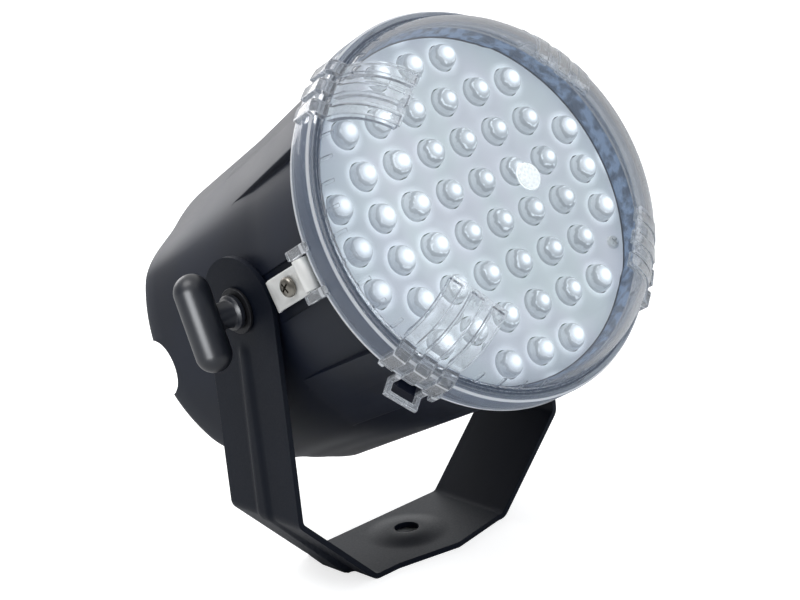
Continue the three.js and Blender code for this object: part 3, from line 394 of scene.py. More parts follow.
def clearPlastic(name):
    material, shade, where = newMaterial(name)
    zones = coverZones
    across, along, depth = shade.axes(lampPoint(shade, where))
    ribs, ends = ribPlaces(shade, across, along)
    glints = shade.noise(where, 420, 4, 0.7)
    reach = (across * across + along * along) ** 0.5
    cloud = shade.noise(where, 90, 3)
    shadedSides = reach.step(*zones["side"])  # painted shade: the sides are tinted greyer than the face
    skirt = 1 - depth.step(*zones["ledge"])
    # ears, latch and blocks
    fittings = reach.step(*zones["beyondSkirt"]).most(1 - depth.step(*zones["behindSkirt"]))
    # painted highlight: pale lines along the skirt's back edge and its ledge
    skirtHighlights = depth.near(*zones["backLine"]).most(depth.near(*zones["ledgeLine"]))
    ragged = reach + shade.noise(where, 700, 3) * 0.9
    mottle = shade.noise(where, 900, 3).step(0.3, 0.7)
    gate = (1 - ragged.step(*zones["gate"])) * depth.step(*zones["face"])
    rounded = shade.node("Bevel", {"samples": 4}, {"Radius": 0.0006})
    level = rounded.dot(shade.node("NewGeometry", output="Normal"))
    edgeHighlights = (1 - level).step(0.015, 0.12) * (0.4 + mottle * 0.6)  # painted highlight: pale lines on the rounded edges
    # painted glints on the ribs, stronger at their inner ends
    ribGlints = ribs * glints.step(0.52, 0.68) * 0.16 + ends * glints.step(0.42, 0.6) * 0.45
    # painted shade: the cover darkens towards its outlines, at grazing angles
    grazingShade = shade.node("LayerWeight", {}, {"Blend": 0.5}, output=1).step(0.88, 0.98)
    tint = shadedSides.blend((0.965, 0.98, 0.985, 1), (0.84, 0.86, 0.88, 1))
    glass = principled(
        shade, Base_Color=grazingShade.blend(tint, (0.5, 0.52, 0.55, 1)), Transmission_Weight=1.0,
        IOR=1.49, Roughness=0.015 + cloud.step(0.4, 0.9) * 0.02)
    pale = fittings.most(edgeHighlights).most(gate).most(skirtHighlights).most(ribs * 0.8)
    cast = pale.blend(tone(150, 166, 192), tone(238, 242, 248))
    # painted light: the frosted gate mark glows
    milk = principled(
        shade, Base_Color=grazingShade.blend(cast, tone(60, 62, 66)), Roughness=0.35,
        Emission_Color=gate.blend(unlit, (0.4, 0.44, 0.41, 1)), Emission_Strength=1.0)
    veil = 0.06 + shadedSides * 0.04 + skirt * 0.17 - fittings * 0.04 + skirtHighlights * 0.5 + edgeHighlights * 0.5 + grazingShade * 0.5
    veil += ribGlints
    veil += gate * (0.5 + mottle * 0.25)
    body = shade.node("MixShader", {}, {0: veil, 1: glass, 2: milk})
    lets = shade.node("BsdfTransparent", {}, {"Color": (0.96, 0.97, 0.975, 1)})
    shadow = shade.node("LightPath", output="Is Shadow Ray")
    closeWith(shade, shade.node("MixShader", {}, {0: shadow, 1: body, 2: lets}))
    return material


lampGrid = {"pitch": 15, "columns": 6, "sideRow": 3}


def lampPlaces():
    reach = (lampGrid["columns"] - 1) / 2
    steps = [k - reach for k in range(lampGrid["columns"])]
    places = [(x, y) for x in steps for y in steps]
    side = (lampGrid["sideRow"] - 1) // 2
    for k in range(-side, side + 1):
        places += [(reach + 1, k), (-reach - 1, k), (k, reach + 1), (k, -reach - 1)]
    return [(x * lampGrid["pitch"], y * lampGrid["pitch"]) for x, y in places]


def lampField(shade, where):  # distance from a lamp's middle, how large its painted glare is, and 0 where there's none
    across, along, depth = shade.axes(lampPoint(shade, where))
    half, pitch = lampGrid["pitch"] / 2, lampGrid["pitch"]
    field, row = pitch * lampGrid["columns"] / 2, pitch * lampGrid["sideRow"] / 2
    farAcross, farAlong = abs(across), abs(along)
    atSide = shade.maths("GREATER_THAN", farAcross, field)
    atEnd = shade.maths("GREATER_THAN", farAlong, field)
    shift = pitch * 20  # the remainder is taken of positive numbers; the short rows lie between columns
    dx = shade.maths("MODULO", across + atEnd * half + shift, pitch) - half
    dy = shade.maths("MODULO", along + atSide * half + shift, pitch) - half
    reach = (dx * dx + dy * dy) ** 0.5
    bare = (atSide * farAlong.step(row - 1, row + 1)).most(atEnd * farAcross.step(row - 1, row + 1))
    outer = (across * across + along * along) ** 0.5
    # painted glare: the lamps glow larger on the outer ring and on the left side
    paintedGlare = outer.step(38, 60).most(1 - across.step(-45, 5))
    return reach, paintedGlare * (1 - bare), 1 - bare


def satinSheet(name):
    material, shade, where = newMaterial(name)
    reach, paintedGlare, lit = lampField(shade, where)
    # painted light: the plate's left side glows a little more
    left = 1 - shade.axes(lampPoint(shade, where))[0].step(-58, -20)
    grain = shade.noise(where, 1600, 3)
    cloud = shade.noise(where, 18, 2)
    # painted light: a glow round each lamp, and a faint glow all over the plate
    paintedPlateGlow = (1 - reach.step(3.5, 9)) ** 1.5 * (0.2 * lit + paintedGlare * 0.5) + 0.25 + left * 0.09
    tinge = shade.noise(where, 45, 2).step(0.35, 0.65)  # a little green here, a little violet there
    closeWith(shade, principled(
        shade, Base_Color=(cloud.step(0.3, 0.8) * 0.6 + grain * 0.3).blend(
            tinge.blend(tone(219, 228, 224), tone(228, 224, 231)), tone(211, 216, 220)),
        Metallic=0.1, Roughness=0.42 + grain * 0.12, Normal=grained(shade, where, 2400, 0.15, 0.00003),
        Emission_Color=paintedPlateGlow.blend(unlit, (0.86, 0.93, 1, 1)), Emission_Strength=1.0))
    return material


def lampLens(name):  # clear lamp, whose lens gathers the light at its tip
    material, shade, where = newMaterial(name)
    reach, paintedGlare, lit = lampField(shade, where)
    tip = (1 - reach.step(0.1, 3.4 + paintedGlare * 2.4)) ** 1.7
    wobble = shade.noise(where, 330, 3) * 1.6
    arcs = (reach + wobble).near(4.7, 0.5)  # rings inside the lens
    # painted glints in a ring inside the lens
    lensGlints = (reach + wobble * 1.3).near(4.4, 0.35) * shade.noise(where, 520, 2).step(0.45, 0.6)
    # painted shade: a dark ring round the lens's foot
    rim = reach.step(4.8, 5.0)
    body = (rim * 0.6).most(arcs * 0.55).blend(tone(206, 212, 216), tone(92, 100, 108))
    glow = tip.most(lensGlints * 0.35)
    closeWith(shade, principled(
        shade, Base_Color=body, Roughness=0.12, Coat_Weight=0.1,
        Emission_Color=glow.blend((0.1, 0.106, 0.11, 1), (0.88, 0.94, 1, 1)), Emission_Strength=1.5))
    return material


metals = {
    "brightSteel": (tone(244, 245, 243), tone(226, 228, 228), 0.34, 0.4),
    "screwSteel": (tone(150, 146, 138), tone(104, 100, 94), 0.26),
    "blackSteel": (tone(44, 45, 49), tone(30, 31, 35), 0.42, 0.6),
    "brass": (tone(200, 164, 92), tone(164, 130, 70), 0.3),
    "castAlloy": (tone(168, 170, 172), tone(140, 142, 146), 0.45),
}
sheaths = {
    "rubber": (tone(18, 18, 19), tone(34, 34, 35), 0.8),
    "boardGreen": (tone(26, 74, 42), tone(34, 88, 52), 0.5),
    "capSleeve": (tone(26, 34, 66), tone(36, 46, 82), 0.4),
    "greyInsulation": (tone(138, 141, 144), tone(156, 158, 160)),
    "redInsulation": (tone(160, 32, 24), tone(178, 48, 38)),
    "blackInsulation": (tone(24, 24, 26), tone(38, 38, 40)),
    "terminalGreen": (tone(46, 122, 60), tone(58, 138, 74), 0.45),
}
finishes = {
    "housingPlastic": mouldedPlastic("housingPlastic", tone(11, 15, 27), tone(18, 24, 40), gloss=0.25,
                                     tint=(0.8, 0.88, 1, 1), paintedWallGlow=1.15),
    "knobPlastic": mouldedPlastic("knobPlastic", tone(12, 14, 19), tone(20, 23, 30), 0.34, 0.08),
    "yokePaint": sprayedPaint("yokePaint", tone(13, 17, 27), tone(20, 25, 37)),
    **{name: brightMetal(name, *values) for name, values in metals.items()},
    **{name: sheath(name, *values) for name, values in sheaths.items()},
    "clearPlastic": clearPlastic("clearPlastic"),
    "satinSheet": satinSheet("satinSheet"),
    "lampLens": lampLens("lampLens"),
}
print("materials made:", len(finishes))

# camera and light
camera = {"azimuth": -40.9176, "elevation": 18.4652, "roll": -6.0728, "distance": 0.875877,
          "across": -0.0080307, "up": 0.0148568, "lens": 36 * 2473.35 / 800}


def cameraAxes():
    turn, rise, roll = (math.radians(camera[key]) for key in ("azimuth", "elevation", "roll"))
    back = Vector((math.sin(turn) * math.cos(rise), -math.cos(turn) * math.cos(rise), math.sin(rise)))
    right = Vector((math.cos(turn), math.sin(turn), 0))
    up = back.cross(right)
    return (math.cos(roll) * right + math.sin(roll) * up, math.cos(roll) * up - math.sin(roll) * right, back)


def placed(name, data, matrix):
    thing = bpy.data.objects.new(name, data)
    bpy.context.scene.collection.objects.link(thing)
    thing.matrix_world = matrix
    return thing


right, up, back = cameraAxes()
eye = pivot + back * camera["distance"] - right * camera["across"] - up * camera["up"]
cameraData = bpy.data.cameras.new("camera")
cameraData.lens, cameraData.sensor_width = camera["lens"], 36
cameraData.clip_start, cameraData.clip_end = 0.01, 50
view = Matrix.Translation(eye) @ Matrix((right, up, back)).transposed().to_4x4()
bpy.context.scene.camera = placed("camera", cameraData, view)
bpy.context.scene.view_settings.view_transform = "Standard"

lights = {  # each is placed right, up and back of the pivot, as the camera sees it
    "key": {"from": (-0.62, 1.05, 0.6), "size": 0.9, "power": 9.6, "colour": (1, 1, 1)},
    "fill": {"from": (1.3, 0.2, 1.3), "size": 1.8, "power": 7.5, "colour": (0.82, 0.91, 1)},
    "sweep": {"from": (-0.73, 0.58, -0.9), "size": 0.7, "power": 3.4, "colour": (1, 0.99, 1)},
    "knobStrip": {"from": (-0.5, -0.2, 1.1), "size": 0.8, "power": 22.0, "colour": (0.95, 0.97, 1)},
    "baseSheen": {"from": (0.1, 0.65, -1.1), "size": 1.1, "power": 2.8, "colour": (0.97, 0.99, 1)},
}
for name, light in lights.items():
    data = bpy.data.lights.new(name, "AREA")
    data.shape = "DISK"
    data.size, data.energy, data.color = light["size"], light["power"], light["colour"]
    x, y, z = light["from"]
    place = pivot + right * x + up * y + back * z
    turn = (place - pivot).to_track_quat("Z", "Y").to_matrix().to_4x4()
    placed(name, data, Matrix.Translation(place) @ turn)
bpy.data.objects["fill"].visible_glossy = False  # it isn't mirrored anywhere


def lightOnly(lamp, *pieces):  # the lamp falls on these pieces alone
    lit = bpy.data.collections.new(lamp)
    for piece in pieces:
        lit.objects.link(piece)
    bpy.data.objects[lamp].light_linking.receiver_collection = lit
    return lit


world = bpy.data.worlds.new("studio")
bpy.context.scene.world = world
world.use_nodes = True
world.node_tree.nodes.clear()
studio = Shade(world.node_tree)
# a dim room before a white sweep, which looks grey through the cover
backdrop = {"front": 0.3, "behind": 0.85, "overhead": 0.75, "throughPlastic": 0.31}
direction = studio.node("TexCoord", output="Generated")
away = direction.dot(-back).step(-0.2, 0.85)
level = backdrop["front"] + away * (backdrop["behind"] - backdrop["front"])
level += studio.axes(direction)[2].step(0.3, 0.95) * backdrop["overhead"]
level += studio.node("LightPath", output="Is Camera Ray") * (1 - level)
level += studio.node("LightPath", output="Is Transmission Ray") * (backdrop["throughPlastic"] - level)
air = studio.node("Background", {}, {"Strength": level, "Color": (1, 1, 1, 1)})
worldOut = world.node_tree.nodes.new("ShaderNodeOutputWorld")
world.node_tree.links.new(air.output, worldOut.inputs["Surface"])

selectNone()
bpy.ops.mesh.primitive_plane_add(size=12)
floor = named("floor")
material, shade, where = newMaterial("floorPaint")
x, y, z = shade.axes(where)
seen = shade.node("LightPath", output="Is Transmission Ray") * 0.5  # it looks grey through the cover
paper = principled(
    shade, Roughness=0.9,
    Base_Color=seen.blend(shade.noise(where, 3, 2).blend(tone(206, 207, 208), tone(212, 213, 214)), unlit))
outsideBaseShadow = abs(x).step(0.026, 0.029).most(abs(y - pivot.y).step(0.015, 0.018))  # painted shadow: the floor under the base gets no lift to white
straight = shade.node("LightPath", output="Is Camera Ray")
glow = shade.node("Emission", {}, {"Strength": straight * outsideBaseShadow * 0.72})
closeWith(shade, shade.node("AddShader", {}, {0: paper, 1: glow}))
floor.data.materials.append(material)
print("camera, lights and floor placed")

# housing
housing = {
    "segments": 192, "rear": -60, "rearRadius": 56.5, "shoulder": 48, "shoulderRadius": 63.6, "rimBack": 51,
    "rimFront": 65, "rimRadius": 66.9, "bore": 63.2, "seat": 56.8, "seatRadius": 60.9, "seatBack": 51.4,
    "wall": 2.6, "panelRadius": 50.3, "panelRecess": 2.6, "opening": 45.5, "flange": 2.5, "edge": 0.5,
    "corner": 3, "firstRing": 4, "rings": 26, "skin": 3.1,
}
pods = {"radius": 61.5, "rearAbove": -63.4, "rearBelow": -65.4, "front": 16, "full": 29, "goneAbove": 54,
        "goneBelow": 66, "notchRadius": 10.4, "notchAt": -64, "notchFloor": 54.8, "spotRadius": 11,
        "spotFace": 60.3}  # the swollen sides
backEnd = {"lift": 1.2, "trim": 0.75, "dent": 1.5, "dentAt": 70, "dentFlat": 4, "dentHalf": 18,
           "taper": 14}  # fuller above, flatter below


def smooth(value, low, high):
    share = min(max((value - low) / (high - low), 0), 1)
    return share * share * (3 - 2 * share)


def wallRadius(z):
    share = (z - housing["rear"]) / (housing["shoulder"] - housing["rear"])
    return housing["rearRadius"] + (housing["shoulderRadius"] - housing["rearRadius"]) * share


def fillet(radius, z, size, steps=5):  # a rounded corner from a flat end to a side
    points = []
    for k in range(steps + 1):
        turn = math.pi / 2 * k / steps
        points.append((radius - size + size * math.sin(turn), z + size - size * math.cos(turn)))
    return points


def lifted(piece, inside=0):  # the upper half's outside rises towards the back
    for vertex in piece.data.vertices:
        if vertex.co.z < housing["shoulder"] and math.hypot(vertex.co.x, vertex.co.y) > inside:
            share = (housing["shoulder"] - vertex.co.z) / (housing["shoulder"] - housing["rear"])
            above = smooth(vertex.co.y, -10, 30)
            vertex.co.y += backEnd["lift"] * share * above
            vertex.co.z += backEnd["trim"] * above * smooth(-vertex.co.z, 48, 58)
    return piece


def housingShell():
    h, e = housing, housing["edge"]
    rebate = h["rear"] + h["panelRecess"]
    flange = rebate + h["flange"]
    span = h["shoulder"] - h["rear"] - h["firstRing"]
    rings = [h["rear"] + h["firstRing"] + span * k / h["rings"] for k in range(h["rings"] + 1)]
    shell = turned("housingShell", [
        (h["panelRadius"], h["rear"]),
        *fillet(h["rearRadius"], h["rear"], h["corner"]),
        *[(wallRadius(z), z) for z in rings],
        (h["rimRadius"] - e / 2, h["rimBack"] - e / 2),
        (h["rimRadius"], h["rimBack"] + e),
        (h["rimRadius"], h["rimFront"] - e), (h["rimRadius"] - e, h["rimFront"]),
        (h["bore"] + e, h["rimFront"]), (h["bore"], h["rimFront"] - e),
        (h["bore"], h["seat"]), (h["seatRadius"], h["seat"]), (h["seatRadius"], h["seatBack"]),
        (wallRadius(flange) - h["wall"], flange),
        (h["opening"], flange), (h["opening"], rebate), (h["panelRadius"], rebate),
        (h["panelRadius"], h["rear"]),
    ], h["segments"])
    for vertex in shell.data.vertices:
        radius, z = math.hypot(vertex.co.x, vertex.co.y), vertex.co.z
        if z > pods["front"] or radius < min(wallRadius(z), h["rearRadius"]) - h["skin"]:
            continue
        turn = math.degrees(math.atan2(abs(vertex.co.y), abs(vertex.co.x)))
        full = 1 - smooth(turn, pods["full"], pods["goneAbove" if vertex.co.y > 0 else "goneBelow"])
        below = smooth(-vertex.co.y, -10, 10)
        aside = smooth(abs(turn - backEnd["dentAt"]), backEnd["dentFlat"], backEnd["dentHalf"])
        dent = below * backEnd["dent"] * (1 - aside)
        grow = 1 + ((pods["radius"] - wallRadius(z)) * full - dent * smooth(-z, -10, 40)) / radius
        rear = pods["rearAbove"] + (pods["rearBelow"] - pods["rearAbove"]) * below
        back = (h["rear"] - rear) * full * smooth(-z, -h["rear"] - backEnd["taper"], -h["rear"])
        vertex.co = (vertex.co.x * grow, vertex.co.y * grow, z - back)
    return lifted(shell, h["rearRadius"] - h["skin"])


wedges = {"start": 40, "halfAngle": 12, "tip": -15, "frontRadius": 66.2, "sink": 2, "underRim": 0.1,
          "edge": 0.5}


def wedgePad():
    w, h = wedges, housing
    tip, under = wallRadius(w["tip"]), h["rimRadius"] - w["underRim"]
    half = w["frontRadius"] * math.sin(math.radians(w["halfAngle"]))
    arch = turned("wedge", [
        (tip - w["sink"], w["tip"]), (tip, w["tip"]), (w["frontRadius"], h["shoulder"]),
        (under, h["rimBack"]), (under, h["rimBack"] + w["sink"]),
        (tip - w["sink"], h["rimBack"] + w["sink"]), (tip - w["sink"], w["tip"])], h["segments"])
    sector = block("side", (0, -half, -40), (80, half, 60))
    return softened(combined(arch, sector, "INTERSECT"), w["edge"], 2, 50)


clip = {"width": 11, "thickness": 1.2, "seat": 64, "back": 20, "fold": 24.5, "foldDrop": 2, "bar": 49,
        "barX": 68.3, "barRadius": 1.2, "curlGap": 0.4, "screw": 34.5, "hole": 1.8, "gap": 0.3, "edge": 0.15}
pocket = {"halfWidth": 8.6, "back": 15.4, "front": 46.5, "floor": 60.8, "padHalfWidth": 5, "padBack": 25,
          "curlRoom": 0.6}
latch = {"angle": 222, "loopTurn": -0.4, "width": 13.2, "bar": 1.7, "back": 48.7, "thickness": 2.1,
         "inner": 68.2, "outer": 75.1, "arm": 1.8, "edge": 0.5, "lugs": (-10.6, 7.4), "lugWidth": 2.4,
         "lugBacks": (54.0, 51.6), "lugFront": 58, "nubWidth": 7, "nubHeight": 2.6, "nubBack": 45,
         "nubFront": 50.4}


def makeHousing():
    shell = housingShell()
    for k in range(4):
        pad = wedgePad()
        pad.data.transform(spun(wedges["start"] + 90 * k))
        combined(shell, lifted(pad), "UNION")
    curlFront = clip["bar"] + clip["barRadius"] + clip["curlGap"] + clip["thickness"] + pocket["curlRoom"]
    half, front = pocket["halfWidth"], pocket["front"]
    outside, beyondPod = housing["rimRadius"] + 1, pods["radius"] + 2
    for side in (-1, 1):
        turn = spun(0 if side > 0 else 180)
        cutters = [
            block("pocket", (pocket["floor"], -half, pocket["back"]), (outside, half, front)),
            block("curlRoom", (clip["seat"], -half, front - 1), (outside, half, curlFront)),
            rod("notch", pods["notchRadius"], (pods["notchFloor"], 0, pods["notchAt"]),
                (beyondPod, 0, pods["notchAt"]), 96),
        ]
        for cutter in cutters:
            cutter.data.transform(turn)
            combined(shell, cutter, "DIFFERENCE")
        spot = rod("spot", pods["spotRadius"], (side * pods["spotFace"], head["axisDrop"], 0),
                   (side * beyondPod, head["axisDrop"], 0), 96)
        combined(shell, spot, "DIFFERENCE")
        wide = pocket["padHalfWidth"]
        pad = block("clipPad", (pocket["floor"] - housing["wall"], -wide, pocket["padBack"]),
                    (clip["seat"], wide, front + 0.2), 0.4)
        pad.data.transform(turn)
        combined(shell, pad, "UNION")
    low, high, wide = latch["nubBack"], latch["nubFront"], latch["nubWidth"] / 2
    base = wallRadius(low) - housing["wall"] / 2
    top = latch["inner"] + latch["nubHeight"] - clip["gap"]
    outline = [(base, low), (housing["rimRadius"], low), (top, high), (base, high)]
    nub = slab("nub", outline, -wide, wide, 0.3)
    nub.data.transform(spun(latch["angle"]))
    return combined(shell, nub, "UNION")


finished(makeHousing(), lampFrame, "head", "housingPlastic", ["housing"])
print("housing done")

# lamp plate and lamps
plate = {"radius": 62.5, "back": 57.1, "front": 58.1, "hole": 5.35, "screwX": 50.5, "screwY": -27.9,
         "screwHole": 1.5}


def disc(name, radius, back, front, segments):
    return turned(name, [(0, back), (radius, back), (radius, front), (0, front)], segments)


def makePlate():
    back, front, x, y = (plate[key] for key in ("back", "front", "screwX", "screwY"))
    sheet = disc("lampPlate", plate["radius"], back, front, 192)
    punches = [rod("punch", plate["hole"], (*place, back - 1), (*place, front + 1), 40)
               for place in lampPlaces()]
    punches.append(rod("punch", plate["screwHole"], (x, y, back - 1), (x, y, front + 1), 24))
    return combined(sheet, joined("punches", *punches), "DIFFERENCE")


finished(makePlate(), lampFrame, "head", "satinSheet", ["lamp_plate"])

lamp = {"radius": 5, "foot": 48.3, "rings": 9, "segments": 32}
circuit = {"radius": 58.6, "back": 48.0, "front": 49.6}


def makeLamp():
    r, rim = lamp["radius"], plate["front"]
    profile = [(0, lamp["foot"]), (r, lamp["foot"]), (r, rim)]
    for k in range(1, lamp["rings"] + 1):
        turn = math.pi / 2 * k / lamp["rings"]
        profile.append((r * math.cos(turn), rim + r * math.sin(turn)))
    return turned("lamp", profile, lamp["segments"])


first = makeLamp()
copies = [twin(first, Matrix.Translation((x, y, 0))) for x, y in lampPlaces()]
bpy.data.objects.remove(first)
finished(joined("lamps", *copies), lampFrame, "head", "lampLens", ["lamp_board"])
board = disc("lampCircuit", circuit["radius"], circuit["back"], circuit["front"], 96)
finished(board, lampFrame, "head", "boardGreen", ["lamp_board"])
print("lamp plate and lamps done")

# front cover
cover = {
    "segments": 336, "skirtRadius": 69.4, "skirtBack": 54.5, "skirtFront": 64, "domeRadius": 68.3,
    "domeBase": 65.6, "bend": 22, "bendRadius": 43.8, "bendZ": 64.83, "bendEnd": 82.2, "bendSteps": 16,
    "faceSteps": 6, "crown": 3.2, "wall": 2.2, "ledge": 65.3, "edge": 0.5, "gate": 4.4, "gateFrom": 88.6,
    "gateTop": 90.5,
    "ribAngles": ribGroups["angles"], "ribPitch": 8.7, "ribWidth": 5, "ribHeight": 1.7, "ribFace": 0.38,
    "ribInner": ribGroups["inner"], "ribInside": 1.4, "ribBack": 56.5, "ribBlock": 67.5, "ribEdge": 0.3,
    "strokeStart": 39, "strokePitch": 7, "strokeDepth": 0.5, "strokeBack": 66.6, "strokeFront": 72.6,
    "strokeClear": 13, "earInner": 6, "earWidth": 3.4, "earBack": 45.5, "earFront": 57, "earOuter": 70.4,
}


def coverCurve(inset):  # the round shoulder and the crowned face, from the side to the middle
    c = cover
    bend = c["bend"] - inset
    points = []
    for k in range(1, c["bendSteps"] + 1):
        turn = math.radians(c["bendEnd"]) * k / c["bendSteps"]
        points.append((c["bendRadius"] + bend * math.cos(turn), c["bendZ"] + bend * math.sin(turn)))
    edge, low = points[-1]
    for k in range(1, c["faceSteps"] + 1):
        share = 1 - k / c["faceSteps"]
        points.append((edge * share, low + c["crown"] * (1 - share * share)))
    return points


def coverShell():
    c = cover
    skirt, dome, wall, side = c["skirtRadius"], c["domeRadius"], c["wall"], c["bendRadius"] + c["bend"]
    back, front, base = c["skirtBack"], c["skirtFront"], c["domeBase"]
    outside = [
        (skirt - 0.3, back), (skirt, back + 0.3), (skirt, c["ribBack"]), (skirt, front - 0.2),
        (skirt - 0.3, front + 0.4), (dome + 0.2, base - 0.3), (dome - 0.4, base), (side + 0.3, base),
        *coverCurve(0)]
    inside = [(skirt - wall, back), (skirt - wall, c["ledge"]), (side - wall, c["ledge"]), *coverCurve(wall)]
    return turned("frontCover", outside[::-1] + inside, c["segments"])


def cutStrokes(piece):  # short runs of faces on the side, one segment wide, pushed in
    c = cover
    step = 360 / c["segments"]

    def chosen(face):
        middle = face.center
        if not c["strokeBack"] < middle.z < c["strokeFront"]:
            return False
        if face.normal.x * middle.x + face.normal.y * middle.y < 0:
            return False
        turn = math.degrees(math.atan2(middle.y, middle.x)) % 360
        place = round((turn - c["strokeStart"]) / step - 0.5)
        near = min(abs((turn - angle + 180) % 360 - 180) for angle in c["ribAngles"])
        return place % c["strokePitch"] == 0 and near > c["strokeClear"]

    piece.data.transform(spun(c["strokeStart"]))
    pick(piece)
    bpy.ops.object.mode_set(mode="EDIT")
    bpy.ops.mesh.select_mode(type="FACE")
    bpy.ops.mesh.select_all(action="DESELECT")
    bpy.ops.object.mode_set(mode="OBJECT")
    for face in piece.data.polygons:
        face.select = chosen(face)
    bpy.ops.object.mode_set(mode="EDIT")
    bpy.ops.mesh.extrude_region_shrink_fatten(TRANSFORM_OT_shrink_fatten={"value": -c["strokeDepth"]})
    bpy.ops.mesh.select_mode(type="VERT")
    bpy.ops.object.mode_set(mode="OBJECT")
    return piece


def ribCurve(inset):
    inner, low = cover["ribInner"] - 5, cover["ribBlock"]
    return [(radius, z) for radius, z in coverCurve(inset) if radius > inner and z > low]


def coverRibs():  # bars with parallel sides, cut from a shell that stands proud of the cover
    c = cover
    sunk, proud = c["skirtRadius"] - c["wall"] / 2, c["skirtRadius"] + c["ribHeight"]
    foot, inner = c["ledge"] + 0.8, c["bendRadius"] + c["bend"] - c["wall"] / 2
    back, top = c["ribBack"], c["ribBlock"]
    ring = turned("ribs", [
        (sunk, back), (proud, back), (proud, top - 1.5), (proud - 1.2, top), *ribCurve(-c["ribFace"]),
        *ribCurve(c["wall"] + c["ribInside"])[::-1], (inner, foot), (sunk, foot), (sunk, back)],
        c["segments"])
    bars = []
    half = c["ribWidth"] / 2
    for angle in c["ribAngles"]:
        for k in (-1, 0, 1):
            middle = k * c["ribPitch"]
            bar = block("bar", (c["ribInner"], middle - half, 50), (80, middle + half, 100))
            bar.data.transform(spun(angle))
            bars.append(bar)
    return softened(combined(ring, joined("bars", *bars), "INTERSECT"), c["ribEdge"], 2, 40)


def latchLoop():  # a loop that stands out from the skirt's edge on two short arms, with the nub in its window
    inner, outer, bar, edge, arm = (latch[key] for key in ("inner", "outer", "bar", "edge", "arm"))
    wide, back, front = latch["width"] / 2, latch["back"], latch["back"] + latch["thickness"]
    loop = block("latch", (inner, -wide, back), (outer, wide, front), edge)
    window = block("window", (inner - 3, -wide + bar, back - 1), (outer - bar, wide - bar, front + 1), edge)
    combined(loop, window, "DIFFERENCE")
    for side in (-1, 1):
        low, high = sorted((side * wide, side * (wide - arm - 0.4)))
        post = block("arm", (inner, low, back + 0.3), (inner + arm, high, cover["skirtBack"] + 1), 0.4)
        combined(loop, post, "UNION")
    half = latch["lugWidth"] / 2
    for turn, low in zip(latch["lugs"], latch["lugBacks"]):  # a lug at each side
        lug = block("lug", (inner, -half, low), (inner + 2 * half, half, latch["lugFront"]), edge)
        lug.data.transform(spun(turn))
        loop = joined("latch", loop, lug)
    return loop


def makeCover():
    c = cover
    shell = cutStrokes(coverShell())
    combined(shell, coverRibs(), "UNION")
    foot = c["skirtRadius"] - c["wall"] + 0.2
    place, reach, height = clip["barX"] + 0.2, c["earInner"] + 1, clip["bar"]
    for turn in (0, 180):
        for side in (-1, 1):
            low, high = sorted((side * c["earInner"], side * (c["earInner"] + c["earWidth"])))
            ear = block("ear", (foot, low, c["earBack"]), (c["earOuter"], high, c["earFront"]), c["edge"])
            ear.data.transform(spun(turn))
            combined(shell, ear, "UNION")
        bar = rod("bar", clip["barRadius"], (place, -reach, height), (place, reach, height), 24)
        bar.data.transform(spun(turn))
        combined(shell, bar, "UNION")
    loop = latchLoop()
    loop.data.transform(spun(latch["angle"] + latch["loopTurn"]))
    combined(shell, loop, "UNION")
    gate = rod("gate", c["gate"], (0, 0, c["gateFrom"]), (0, 0, c["gateTop"]), 64, 0.2)
    return combined(shell, gate, "UNION")


dome = finished(makeCover(), lampFrame, "head", "clearPlastic", ["front_cover"])
spared = lightOnly("key", dome)  # all but the cover, where it would leave a glare
spared.collection_objects[0].light_linking.link_state = "EXCLUDE"
print("front cover done")

# T-knobs
knob = {"lean": 20.6, "barRadius": 6.35, "barHalf": 10.9, "centre": 79.3, "neckRadius": 4.7, "neckFrom": 65.6,
        "collarRadius": 6.2, "collarLength": 2.4, "bore": 3.3, "boreDepth": 8.3}


def makeKnob(name, side):
    selectNone()
    bpy.ops.mesh.primitive_uv_sphere_add(segments=48, ring_count=25, radius=knob["barRadius"])
    grip = named(name)
    for vertex in grip.data.vertices:
        vertex.co.z += knob["barHalf"] * (1 if vertex.co.z > 0 else -1)
    grip.data.transform(spun(90, "X"))
    start, end, bore = knob["neckFrom"], knob["centre"] - 3, knob["bore"]
    depth, step = start + knob["boreDepth"], start + knob["collarLength"]
    collar, waist = knob["collarRadius"], knob["neckRadius"]
    neck = turned("neck", [
        (bore, start), (collar - 0.4, start), (collar, start + 0.4), (collar, step - 0.5),
        (collar - 0.5, step), (waist + 0.3, step + 0.4), (waist, step + 1.2), (waist, end), (0, end),
        (0, depth), (bore, depth), (bore, start)], 48)
    neck.data.transform(spun(90 * side, "Y"))
    grip.data.transform(Matrix.Translation((side * knob["centre"], 0, 0)))
    return combined(grip, neck, "UNION")


knobs = []
for name, side in (("left", -1), ("right", 1)):
    piece = makeKnob("tKnob_" + name, side)
    piece.data.transform(spun(head["tilt"] - knob["lean"], "X"))
    knobs.append(finished(
        piece, pivotFrame, "knob_" + name, "knobPlastic", ["t_knob_" + name]))
lightOnly("knobStrip", *knobs)
print("knobs done")

# yoke
yoke = {
    "width": 127.6, "thickness": 2, "depth": 37, "base": 65, "bend": 31.5, "bendRadius": 4.5, "arm": 107.7,
    "pivotHole": 4.2, "mountHole": 4.6, "dishFoot": 16, "dishTop": 5.5, "dishHeight": 1.5, "swell": 5,
    "swellX": 4, "swellEnd": 3.5, "ribHeight": 0.9, "ribTop": 3.5, "ribBend": 6.5, "ribFoot": 15,
    "ribEnd": 2.2, "ribStart": 12, "ribSide": 2.2, "ribFade": 4, "bendSteps": 8, "capSteps": 24, "rows": 300,
    "columns": 38,
}


